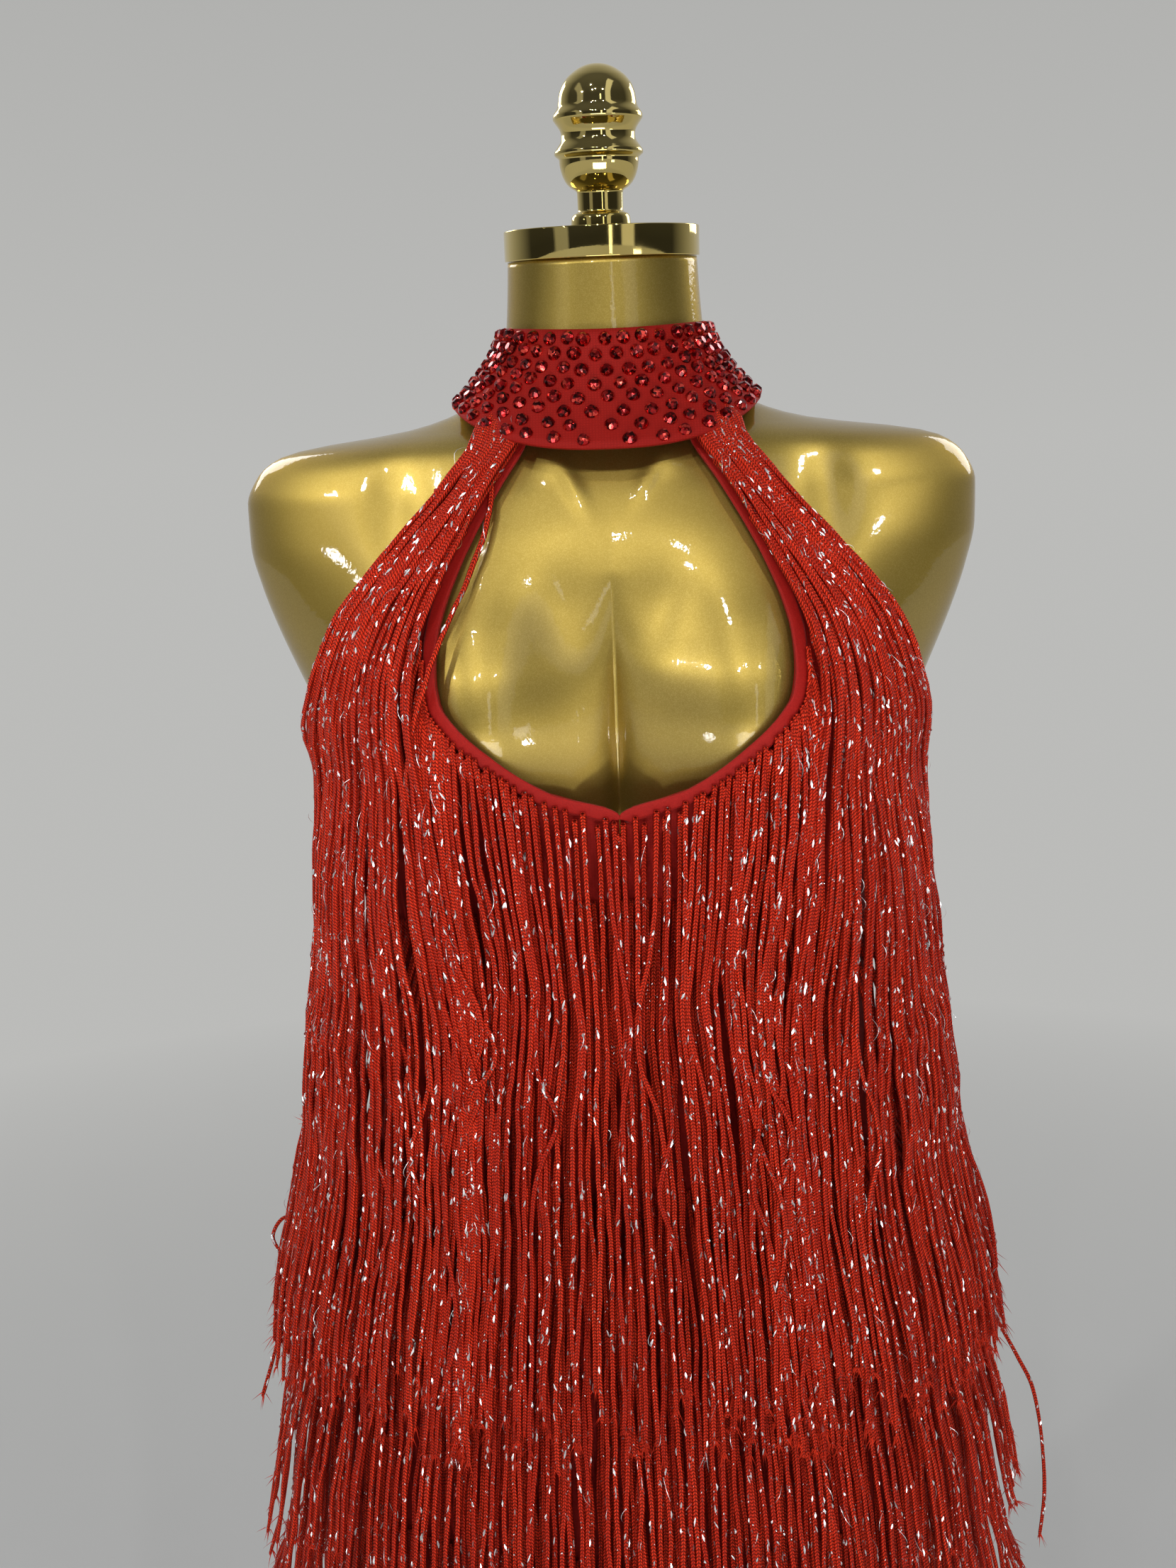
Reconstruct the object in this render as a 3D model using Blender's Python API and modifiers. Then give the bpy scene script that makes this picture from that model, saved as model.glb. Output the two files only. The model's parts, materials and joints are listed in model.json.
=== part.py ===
"""Fringe dress with a halter collar and a keyhole front, on an armless dress form with its stand.

Metres, +Z up, the front faces -Y, the origin is on the floor under the pole.

Every piece of cloth lies on one skin: the form's own sections, pulled taut across the hollows.
A place on it is given by two numbers. "across" runs from 0 at the front centre over 0.5 at the side
to 1 at the back centre, with negative values on the -X side, and "height" is the height over the floor.
"""

import math

import bpy
import mathutils
import numpy as np

CLOTH = 0.0016  # wall of the stretch cloth
BINDING = 0.0012  # wall of the folded binding that lies on it
GAP = 0.0003  # kept between pieces that touch
BINDING_GAP = 0.0011  # kept under the bindings, which follow the cloth in flat stretches
TAPE_GAP = 0.0013  # kept under the fringe tapes in the same way
SEAM_SHARE = 0.0005  # half a seam's gap, as a share of the way from front centre to back centre

NECK_TOP = 1.451
NECK_LEAN = math.radians(5)  # the neck's top plane and what stands on it lean forward
DISC_RADIUS = 0.0525
DISC_THICK = 0.0155
FINIAL_TALL = 0.081
FORM_BOTTOM = 0.66
FLANGE_RADIUS = 0.034
FLANGE_THICK = 0.016
POLE_RADIUS = 0.0125
BASE_RADIUS = 0.200
BASE_THICK = 0.009
BOSS_RADIUS = 0.030
BOSS_TOP = 0.042

HEM = 0.70
SIDE_TOP = 1.190
BACK_TOP = 1.085
BINDING_WIDE = 0.007
BINDING_OVER = 0.001  # it stands this far over the cloth's edge
COLLAR_WALL = 0.0018
TAPE_TALL = 0.007  # the tape that a row of fringe is sewn to
TAPE_WALL = 0.0018
TAPE_OVER_BINDING = 0.0022  # how much further out the strap's tape lies, over the bindings

# height, half width, front depth, back depth, roundness seen across x, roundness seen across y
FORM_SECTIONS = (
    (0.580, 0.1680, 0.1080, 0.1160, 2.25, 2.25),
    (0.660, 0.1690, 0.1090, 0.1180, 2.25, 2.25),
    (0.720, 0.1765, 0.1120, 0.1240, 2.25, 2.25),
    (0.790, 0.1800, 0.1140, 0.1260, 2.25, 2.25),
    (0.860, 0.1730, 0.1110, 0.1200, 2.25, 2.25),
    (0.920, 0.1560, 0.1030, 0.1070, 2.20, 2.20),
    (0.980, 0.1330, 0.0940, 0.0930, 2.15, 2.15),
    (1.040, 0.1220, 0.0880, 0.0850, 2.15, 2.15),
    (1.090, 0.1300, 0.0920, 0.0880, 2.15, 2.15),
    (1.140, 0.1430, 0.0980, 0.0940, 2.15, 2.15),
    (1.180, 0.1540, 0.1010, 0.0990, 2.15, 2.15),
    (1.218, 0.1700, 0.1030, 0.1020, 2.15, 2.10),
    (1.239, 0.1790, 0.1030, 0.1035, 2.15, 2.10),
    (1.262, 0.1885, 0.1010, 0.1035, 2.15, 2.05),
    (1.284, 0.1960, 0.0970, 0.1020, 2.10, 2.00),
    (1.306, 0.2010, 0.0910, 0.0980, 2.10, 1.90),
    (1.328, 0.2015, 0.0820, 0.0900, 2.05, 1.75),
    (1.343, 0.1950, 0.0740, 0.0820, 2.00, 1.55),
    (1.352, 0.1840, 0.0685, 0.0765, 2.00, 1.40),
    (1.357, 0.1670, 0.0650, 0.0730, 2.00, 1.25),
    (1.3605, 0.1420, 0.0625, 0.0705, 2.00, 1.20),
    (1.364, 0.1150, 0.0600, 0.0680, 2.00, 1.30),
    (1.371, 0.0880, 0.0565, 0.0640, 2.00, 1.55),
    (1.382, 0.0670, 0.0535, 0.0590, 2.00, 1.80),
    (1.398, 0.0560, 0.0515, 0.0540, 2.00, 1.95),
    (1.425, 0.0525, 0.0505, 0.0515, 2.00, 2.00),
    (1.460, 0.0505, 0.0500, 0.0505, 2.00, 2.00),
)
BUST_X = 0.077
BUST_HEIGHT = 1.212
BUST_RISE = 0.040
BUST_WIDE = 0.052
BUST_ABOVE = 0.070
BUST_BELOW = 0.046
CLOTH_BELOW = 0.105  # the cloth falls from the bust and doesn't follow the hollow under it

# height, room between the form and the cloth
EASE = (
    (0.60, 0.0028),
    (0.82, 0.0028),
    (0.90, 0.0050),
    (0.98, 0.0120),
    (1.04, 0.0150),
    (1.10, 0.0090),
    (1.15, 0.0040),
    (1.20, 0.0036),
    (1.24, 0.0030),
    (1.28, 0.0024),
    (1.45, 0.0022),
)

# The keyhole's edge and the armhole's edge, row by row down to the end of the keyhole:
# inner x, inner height, outer x, outer height. An outer x of 0 stands for the side seam.
STRAP_ROWS = (
    (0.0330, 1.3960, 0.0520, 1.3900),
    (0.0342, 1.3860, 0.0555, 1.3795),
    (0.0360, 1.3760, 0.0590, 1.3690),
    (0.0388, 1.3635, 0.0630, 1.3585),
    (0.0420, 1.3520, 0.0680, 1.3480),
    (0.0530, 1.3350, 0.0820, 1.3280),
    (0.0660, 1.3125, 0.1010, 1.3060),
    (0.0755, 1.2930, 0.1190, 1.2850),
    (0.0825, 1.2740, 0.1360, 1.2630),
    (0.0855, 1.2590, 0.1450, 1.2440),
    (0.0860, 1.2450, 0.1515, 1.2280),
    (0.0840, 1.2320, 0.1560, 1.2140),
    (0.0760, 1.2200, 0.1595, 1.2020),
    (0.0580, 1.2035, 0.0000, SIDE_TOP),
    (0.0340, 1.1880, 0.0000, 1.1760),
    (0.0000, 1.1745, 0.0000, 1.1620),
)
SKIRT_HEIGHTS = (1.135, 1.100, 1.070, 1.040, 1.010, 0.975, 0.935, 0.890, 0.840, 0.795, 0.750, HEM)

# The layers of fringe: height, then how far each row's cords hang outside the cloth there.
LAYERS = (
    (0.580, 0.090, 0.080, 0.070, 0.050, 0.028),
    (0.645, 0.086, 0.076, 0.067, 0.046, 0.024),
    (0.700, 0.075, 0.062, 0.047, 0.030, 0.013),
    (0.730, 0.060, 0.049, 0.036, 0.022, 0.008),
    (0.780, 0.046, 0.036, 0.025, 0.013, 0.003),
    (0.830, 0.035, 0.025, 0.015, 0.006, 0.002),
    (0.880, 0.034, 0.024, 0.014, 0.005, 0.002),
    (0.930, 0.035, 0.023, 0.0115, 0.004, 0.002),
    (0.980, 0.042, 0.029, 0.015, 0.004, 0.002),
    (1.030, 0.043, 0.031, 0.015, 0.004, 0.002),
    (1.090, 0.033, 0.022, 0.010, 0.004, 0.002),
    (1.130, 0.025, 0.014, 0.005, 0.004, 0.002),
    (1.165, 0.014, 0.005, 0.004, 0.004, 0.002),
    (1.200, 0.0065, 0.004, 0.004, 0.004, 0.002),
    (1.300, 0.0065, 0.004, 0.004, 0.004, 0.002),
    (1.400, 0.0050, 0.004, 0.004, 0.004, 0.002),
)
TOP_LAYER, BUST_LAYER, WAIST_LAYER, HIP_LAYER, HEM_LAYER = 1, 2, 3, 4, 5

# node, layer, tape height in front, tape height behind, cords' end, cords, stretches down a cord
FRINGE_ROWS = (
    ("fringe_bust", BUST_LAYER, 1.130, 1.040, 0.735, 32, 4),
    ("fringe_waist", WAIST_LAYER, 0.960, 0.950, 0.655, 30, 4),
    ("fringe_hip", HIP_LAYER, 0.855, 0.850, 0.622, 28, 3),
    ("fringe_hem", HEM_LAYER, 0.745, 0.745, 0.600, 26, 2),
)
TOP_END = 0.845  # where the cords of the straps, keyhole and back edge end
END_PLAY = 0.016  # neighbouring cords end this much higher or lower
CORD_FILL = 0.80  # a cord's width as a share of the room that it has
CORD_THICK = 0.0065
TIP_WIDE, TIP_THICK = 0.6, 0.55  # of a cord's width and thickness, at its end
FALL_REACH = 0.5  # this far down from its tape every cord hangs straight
RAISED_FADE = (0.10, 0.18)  # ways down between which a raised cord comes back to its layer
LAYER_EASING = 0.045  # below its tape a cord takes this much to reach its layer
TAPE_CLOSER = 0.0005  # the keyhole's tape lies this much closer to the cloth
STRAP_CORDS = 10
STRAP_HANGS = (0.176, 0.478)  # across values where the strap's inner and outer cords hang
KEYHOLE_TAPE_ROWS = 4.3  # how many of the fronts' rows the keyhole's tape climbs on each side
KEYHOLE_TAPE_BELOW = 0.010
KEYHOLE_CORDS = 20
BACK_CORDS = 18

RED = (0.62, 0.035, 0.020, 1)
DEEP_RED = (0.48, 0.020, 0.016, 1)
GOLD = (0.62, 0.42, 0.15, 1)
BRASS = (0.80, 0.56, 0.22, 1)
STEEL = (0.30, 0.30, 0.31, 1)


def curve_through(knots, values, at):
    """Values read from one smooth curve through the given points, which never swings past them."""
    knots, values = np.asarray(knots, float), np.asarray(values, float)
    step = np.diff(knots)
    slope = np.diff(values) / step
    product = slope[:-1] * slope[1:]
    total = slope[:-1] + slope[1:]
    between = np.where(product > 0, 2 * product / np.where(product > 0, total, 1), 0)
    tangent = np.concatenate([slope[:1], between, slope[-1:]])
    at = np.clip(np.asarray(at, float), knots[0], knots[-1])
    cell = np.clip(np.searchsorted(knots, at, side="right") - 1, 0, len(step) - 1)
    t = (at - knots[cell]) / step[cell]
    rise = (3 - 2 * t) * t**2
    lead = t * (1 - t) ** 2 * step[cell] * tangent[cell]
    trail = t**2 * (1 - t) * step[cell] * tangent[cell + 1]
    return values[cell] * (1 - rise) + values[cell + 1] * rise + lead - trail


def column(table, height, index):
    """One column of a table, read at any height."""
    return curve_through([row[0] for row in table], [row[index] for row in table], height)


def ease(height):
    return column(EASE, height, 1)


def form_half(height, below=BUST_BELOW, count=181):
    """x and y of the form's right half at one height, from the front centre to the back centre."""
    half, front, back, round_x, round_y = (column(FORM_SECTIONS, height, i) for i in range(1, 6))
    turn = np.linspace(0, math.pi, count)
    along, aside = np.cos(turn), np.sin(turn)
    x = half * np.abs(aside) ** (2 / round_x)
    y = -np.where(along > 0, front, back) * np.sign(along) * np.abs(along) ** (2 / round_y)
    reach = BUST_ABOVE if height > BUST_HEIGHT else below
    swell = np.exp(-(((x - BUST_X) / BUST_WIDE) ** 2) - ((height - BUST_HEIGHT) / reach) ** 2)
    return x, y - BUST_RISE * swell * np.sqrt(np.clip(along, 0, 1))


def taut(x, y):
    """The same half outline as stretched cloth takes it, straight over each hollow."""
    outline = sorted(zip(y, x))
    points = [(outline[0][0], 0.0)] + outline + [(outline[-1][0], 0.0)]
    chain = []
    for point in points:
        while len(chain) > 1:
            (y0, x0), (y1, x1) = chain[-2], chain[-1]
            if (y1 - y0) * (point[1] - x0) - (x1 - x0) * (point[0] - y0) < 0:
                break
            chain.pop()
        chain.append(point)
    chain = np.array(chain)
    return chain[:, 1], chain[:, 0]


def evenly(x, y, shares):
    """Points at shares of the outline: 0 to 0.5 lies before its widest point, 0.5 to 1 after it."""
    widest = int(np.argmax(x))
    length = np.concatenate([[0], np.cumsum(np.hypot(np.diff(x), np.diff(y)))])
    side = length[widest]
    wanted = np.interp(shares, [0, 0.5, 1], [0, side, length[-1]])
    return np.interp(wanted, length, x), np.interp(wanted, length, y)


SKIN_HEIGHTS = np.concatenate([np.arange(0.58, 1.32, 0.01), np.arange(1.32, 1.456, 0.004)])
SKIN_SHARES = np.linspace(0, 1, 121)
SKIN = np.array(
    [np.stack(evenly(*taut(*form_half(h, CLOTH_BELOW)), SKIN_SHARES), -1) for h in SKIN_HEIGHTS]
)


def skin_point(across, height):
    across, height = np.broadcast_arrays(np.asarray(across, float), np.asarray(height, float))
    signed = (across + 1) % 2 - 1
    row = np.interp(height, SKIN_HEIGHTS, np.arange(len(SKIN_HEIGHTS)))
    col = np.abs(signed) * (len(SKIN_SHARES) - 1)
    row0 = np.clip(row.astype(int), 0, len(SKIN_HEIGHTS) - 2)
    col0 = np.clip(col.astype(int), 0, len(SKIN_SHARES) - 2)
    down, over = (row - row0)[..., None], (col - col0)[..., None]
    near = SKIN[row0, col0] * (1 - over) + SKIN[row0, col0 + 1] * over
    far = SKIN[row0 + 1, col0] * (1 - over) + SKIN[row0 + 1, col0 + 1] * over
    flat = near * (1 - down) + far * down
    return np.stack([np.where(signed < 0, -1, 1) * flat[..., 0], flat[..., 1], height], -1)


def skin(across, height, out):
    """Points that lie out from the taut skin, and the skin's outward direction there."""
    sideways = skin_point(across + 0.012, height) - skin_point(across - 0.012, height)
    upwards = skin_point(across, height + 0.006) - skin_point(across, height - 0.006)
    normal = np.cross(sideways, upwards)
    normal /= np.linalg.norm(normal, axis=-1, keepdims=True)
    return skin_point(across, height) + normal * np.asarray(out)[..., None], normal


def over_cloth(across, height, lift):
    """Points that lie lift outside the cloth's outer face."""
    return skin(across, height, ease(height) + CLOTH + lift)[0]


def across_at(x, height):
    """The across value of the front point with this x."""
    shares = SKIN_SHARES[SKIN_SHARES <= 0.5]
    return float(np.interp(x, skin_point(shares, height)[:, 0], shares))


def strap_edges():
    """across and height of the front's inner and outer edge, row by row."""
    inner = [(max(across_at(x, z), SEAM_SHARE), z) for x, z, _, _ in STRAP_ROWS]
    inner += [(SEAM_SHARE, z) for z in SKIRT_HEIGHTS]
    side = 0.5 - SEAM_SHARE
    outer = [(across_at(x, z) if x else side, z) for _, _, x, z in STRAP_ROWS]
    outer += [(side, z) for z in SKIRT_HEIGHTS]
    return np.array(inner), np.array(outer)


INNER_EDGE, OUTER_EDGE = strap_edges()
LAST_ROW = len(INNER_EDGE) - 1
COLLAR_ROW = 3.7  # the row where a strap comes out from under the collar
BUST_ROW = 10.0  # the row where the cords leave the strap and hang
SIDE_ROW = 13.0
KEYHOLE_ROW = 15.0


def front_place(share, row):
    """across and height on the right front: share 0 is its inner edge, 1 its outer edge."""
    rows = np.arange(LAST_ROW + 1)
    near = [curve_through(rows, INNER_EDGE[:, i], row) for i in (0, 1)]
    far = [curve_through(rows, OUTER_EDGE[:, i], row) for i in (0, 1)]
    return near[0] + (far[0] - near[0]) * share, near[1] + (far[1] - near[1]) * share


def back_edge(across):
    """Height of the back's top edge. across runs from 0.5 over 1 to 1.5."""
    dip = np.abs(np.cos((across - 1) * math.pi)) ** 1.3
    return SIDE_TOP - (SIDE_TOP - BACK_TOP) * dip


def make_object(name, vertices, faces, colour, roughness=0.8, metallic=0.0):
    mesh = bpy.data.meshes.new(name)
    mesh.from_pydata([tuple(v) for v in np.asarray(vertices)], [], faces)
    mesh.update()
    return finish_object(name, mesh, colour, roughness, metallic)


def finish_object(name, mesh, colour, roughness, metallic):
    obj = bpy.data.objects.new(name, mesh)
    bpy.data.collections["fringe_dress"].objects.link(obj)
    material = bpy.data.materials.new(name)
    material.use_nodes = True
    shader = material.node_tree.nodes["Principled BSDF"]
    shader.inputs["Base Color"].default_value = colour
    shader.inputs["Roughness"].default_value = roughness
    shader.inputs["Metallic"].default_value = metallic
    mesh.materials.append(material)
    mesh.shade_smooth()
    return obj


def mirrored(points):
    """The same points on the other side of the dress."""
    return points * np.array([-1, 1, 1])


def sheet(name, points, wall, colour):
    """A cloth panel: an open grid of points, [row, column], thickened away from the pole's axis."""
    rows, columns = points.shape[:2]
    r, c = rows // 2, columns // 2
    normal = np.cross(points[r, c] - points[r - 1, c], points[r, c] - points[r, c - 1])
    faces = []
    for r0 in range(rows - 1):
        for c0 in range(columns - 1):
            corner = r0 * columns + c0
            faces.append((corner, corner + columns, corner + columns + 1, corner + 1))
    if normal @ (points[r, c] * np.array([1, 1, 0])) < 0:
        faces = [face[::-1] for face in faces]
    obj = make_object(name, points.reshape(-1, 3), faces, colour)
    solidify = obj.modifiers.new("wall", "SOLIDIFY")
    solidify.thickness = wall
    solidify.offset = 1
    return obj


def turned(name, profile, colour, steps, roughness, metallic, place=(0, 0, 0), lean=0.0):
    """A turned solid from a profile of (radius, height), listed from its top to its bottom."""
    mesh = bpy.data.meshes.new(name)
    mesh.from_pydata([(r, 0, z) for r, z in profile], [(i, i + 1) for i in range(len(profile) - 1)], [])
    obj = finish_object(name, mesh, colour, roughness, metallic)
    screw = obj.modifiers.new("turn", "SCREW")
    screw.steps = screw.render_steps = steps
    screw.use_merge_vertices = True
    screw.merge_threshold = 0.00005
    obj.location = place
    obj.rotation_euler = (lean, 0, 0)
    return obj


def arc(centre, radius, first, last, count):
    """Points of an arc in a turned profile, with angles in degrees from the +radius direction."""
    turn = np.radians(np.linspace(first, last, count))
    return [(centre[0] + radius * math.cos(a), centre[1] + radius * math.sin(a)) for a in turn]


def make_torso():
    """The form itself: rings from its flat bottom over the shoulders to the top of the neck."""
    around = 24
    low = np.linspace(FORM_BOTTOM, 1.10, 11)
    chest = np.linspace(1.13, 1.306, 9)
    top = [row[0] for row in FORM_SECTIONS if 1.31 < row[0] < NECK_TOP] + [1.440, NECK_TOP]
    heights = np.concatenate([low, chest, top])
    shares = np.linspace(0, 1, around // 2 + 1)
    vertices = []
    for height in heights:
        x, y = evenly(*form_half(height), shares)
        lean = math.tan(NECK_LEAN) * np.clip((height - 1.40) / (NECK_TOP - 1.40), 0, 1)
        right = list(zip(x, y, height + lean * y))
        left = [(-a, b, c) for a, b, c in right[-2:0:-1]]
        vertices += right + left
    faces = [tuple(range(around - 1, -1, -1))]
    for r in range(len(heights) - 1):
        for c in range(around):
            near, far = r * around + c, r * around + (c + 1) % around
            faces.append((near, far, far + around, near + around))
    last = (len(heights) - 1) * around
    faces.append(tuple(range(last, last + around)))
    make_object("form_torso", vertices, faces, GOLD, 0.35, 0.85)


def make_stand():
    """What carries the form, which the photograph doesn't show: flange, pole and round base."""
    flange_top = FORM_BOTTOM - GAP
    flange_low = flange_top - FLANGE_THICK
    flange = [(0, flange_top), (FLANGE_RADIUS, flange_top)]
    flange += [(FLANGE_RADIUS, flange_top - 0.004), (POLE_RADIUS * 1.5, flange_low), (0, flange_low)]
    turned("form_flange", flange, STEEL, 20, 0.4, 0.9)
    pole_top = flange_low - GAP
    pole = [(0, pole_top), (POLE_RADIUS, pole_top), (POLE_RADIUS, BOSS_TOP + GAP), (0, BOSS_TOP + GAP)]
    turned("stand_pole", pole, BRASS, 16, 0.3, 1.0)
    base = [(0, BOSS_TOP), (POLE_RADIUS * 1.4, BOSS_TOP), (BOSS_RADIUS, BASE_THICK + 0.012)]
    base += [(BOSS_RADIUS + 0.010, BASE_THICK + 0.002), (BASE_RADIUS - 0.012, BASE_THICK)]
    base += arc((BASE_RADIUS - 0.004, BASE_THICK - 0.005), 0.004, 90, 0, 3)
    base += [(BASE_RADIUS, 0), (0, 0)]
    turned("stand_base", base, GOLD, 28, 0.35, 0.9)


def make_neck_top():
    """The metal disc on the neck and the turned finial on it, both leaning with the neck."""
    rim = 0.002
    disc = [(0, DISC_THICK)]
    disc += arc((DISC_RADIUS - rim, DISC_THICK - rim), rim, 90, 0, 3)
    disc += arc((DISC_RADIUS - rim, rim), rim, 0, -90, 3)
    disc += [(0, 0)]
    foot = NECK_TOP + GAP
    turned("neck_disc", disc, BRASS, 26, 0.15, 1.0, (0, 0, foot), NECK_LEAN)
    lift = DISC_THICK + GAP
    place = (0, -math.sin(NECK_LEAN) * lift, foot + math.cos(NECK_LEAN) * lift)
    # share of the height below the top, radius
    shape = ((0.000, 0.0000), (0.014, 0.0085), (0.070, 0.0155), (0.160, 0.0198), (0.240, 0.0207))
    shape += ((0.265, 0.0234), (0.325, 0.0236), (0.385, 0.0200), (0.440, 0.0197), (0.520, 0.0233))
    shape += ((0.575, 0.0234), (0.630, 0.0206), (0.710, 0.0175), (0.785, 0.0127), (0.915, 0.0126))
    shape += ((0.935, 0.0158), (1.000, 0.0162))
    profile = [(radius, FINIAL_TALL * (1 - below)) for below, radius in shape] + [(0, 0)]
    turned("finial", profile, BRASS, 18, 0.12, 1.0, place, NECK_LEAN)


def collar_point(turn, level):
    """The collar's inner face. turn is the angle from the front, level 0 its top, 1 its lower edge."""
    front, side = np.cos(turn), np.sin(turn)
    ahead = np.clip(front, 0, 1) ** 1.6
    top_y, low_y = np.where(front > 0, 0.0560, 0.0565), np.where(front > 0, 0.0905, 0.0800)
    top_z = 1.4165 - 0.0055 * ahead
    low_z = 1.3760 - 0.0250 * ahead - 0.0045 * np.clip(-front, 0, 1) ** 1.6
    flare = level**1.15
    square = 1 - 0.2 * level
    x = np.sign(side) * np.abs(side) ** square * (0.0545 + (0.0820 - 0.0545) * flare)
    y = -np.sign(front) * np.abs(front) ** square * (top_y + (low_y - top_y) * flare)
    return np.stack([x, y, top_z + (low_z - top_z) * level], -1)


def collar_outside(turn, level, out):
    """Points that lie out from the collar's inner face, and the outward direction there."""
    step = 0.01
    around = collar_point(turn + step, level) - collar_point(turn - step, level)
    upwards = collar_point(turn, level - step) - collar_point(turn, level + step)
    normal = np.cross(around, upwards)
    normal /= np.linalg.norm(normal, axis=-1, keepdims=True)
    return collar_point(turn, level) + normal * out, normal


def make_collar():
    """The collar, with its ends meeting at the back under a tab that two buttons hold."""
    opening = 0.006
    turn, level = np.meshgrid(np.linspace(-math.pi + opening, math.pi - opening, 27), np.linspace(0, 1, 5))
    sheet("collar", collar_point(turn, level), COLLAR_WALL, RED)
    half_turn = 0.17
    tab_out = COLLAR_WALL + 2 * GAP
    turn, level = np.meshgrid(
        np.linspace(math.pi - half_turn, math.pi + half_turn, 5), np.linspace(0.12, 0.86, 4)
    )
    sheet("collar_tab", collar_outside(turn, level, tab_out)[0], BINDING, DEEP_RED)
    for number, at in enumerate((0.30, 0.68), 1):
        spot, normal = collar_outside(np.array(math.pi - 0.08), np.array(at), tab_out + BINDING + 2 * GAP)
        knob = [(0, 0.003), (0.0038, 0.0026), (0.0055, 0.0010), (0.0055, 0), (0, 0)]
        button = turned(f"collar_button_{number}", knob, DEEP_RED, 12, 0.6, 0.0, spot)
        button.rotation_euler = mathutils.Vector(normal).to_track_quat("Z", "Y").to_euler()


def make_fronts():
    share, row = np.meshgrid(np.linspace(0, 1, 7), np.arange(LAST_ROW + 1))
    across, height = front_place(share, row)
    points = skin(across, height, ease(height))[0]
    sheet("front_right", points, CLOTH, RED)
    sheet("front_left", mirrored(points), CLOTH, RED)


def make_back():
    """The back, with its rows at the fronts' heights below its top edge."""
    edges = np.linspace(0.5 + SEAM_SHARE, 1.5 - SEAM_SHARE, 19)
    across, drop = np.meshgrid(edges, np.linspace(0, 1, 14))
    top = back_edge(across)
    height = top + (HEM - top) * drop
    sheet("back", skin(across, height, ease(height))[0], CLOTH, RED)


def band(across, height, inwards):
    """A folded binding's inner face. inwards is 1 where the cloth lies to the left of the edge's run."""
    points, normal = skin(across, height, ease(height) + CLOTH + BINDING_GAP)
    along = np.gradient(points, axis=0)
    inward = np.cross(normal, along) * inwards
    inward /= np.linalg.norm(inward, axis=-1, keepdims=True)
    offsets = np.linspace(-BINDING_OVER, BINDING_WIDE - BINDING_OVER, 3)[:, None, None]
    return points[None] + inward[None] * offsets


def make_bindings():
    near_keyhole = np.append(np.arange(BUST_ROW, KEYHOLE_ROW, 0.5), KEYHOLE_ROW - 0.06)
    row = np.concatenate([np.arange(1, BUST_ROW), near_keyhole])
    keyhole = band(*front_place(0.0, row), 1)
    armhole = band(*front_place(1.0, np.append(np.arange(1, SIDE_ROW), SIDE_ROW - 0.15)), -1)
    for name, points in (("keyhole_binding", keyhole), ("armhole_binding", armhole)):
        sheet(f"{name}_right", points, BINDING, DEEP_RED)
        sheet(f"{name}_left", mirrored(points), BINDING, DEEP_RED)
    across = np.linspace(0.512, 1.488, 25)
    sheet("back_binding", band(across, back_edge(across), -1), BINDING, DEEP_RED)


def layer_lift(height, layer, root):
    """How far outside the cloth the middle of a cord hangs, easing out from its tape at root."""
    settled = column(LAYERS, height, layer)
    fall = np.clip((root - height) / LAYER_EASING, 0, 1)
    fall = fall * fall * (3 - 2 * fall)
    at_root = TAPE_GAP + TAPE_WALL / 2
    return at_root + (settled - at_root) * fall


def uneven(number):
    """A steady play between -1 and 1 that makes the cords end at different heights."""
    return math.sin(2.4 * number + 1.3 * math.sin(0.9 * number))


def comb_edges(first, last, cords, closed=False):
    """Edges of the stretches along a tape: a space, a cord, a space and so on."""
    room = (last - first) / cords
    side = room * (1 - CORD_FILL) / 2
    starts = [first + number * room for number in range(cords)]
    edges = [edge for start in starts for edge in (start + side, start + room - side)]
    return [edges[-1] - (last - first)] + edges if closed else [first] + edges + [last]


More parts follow.
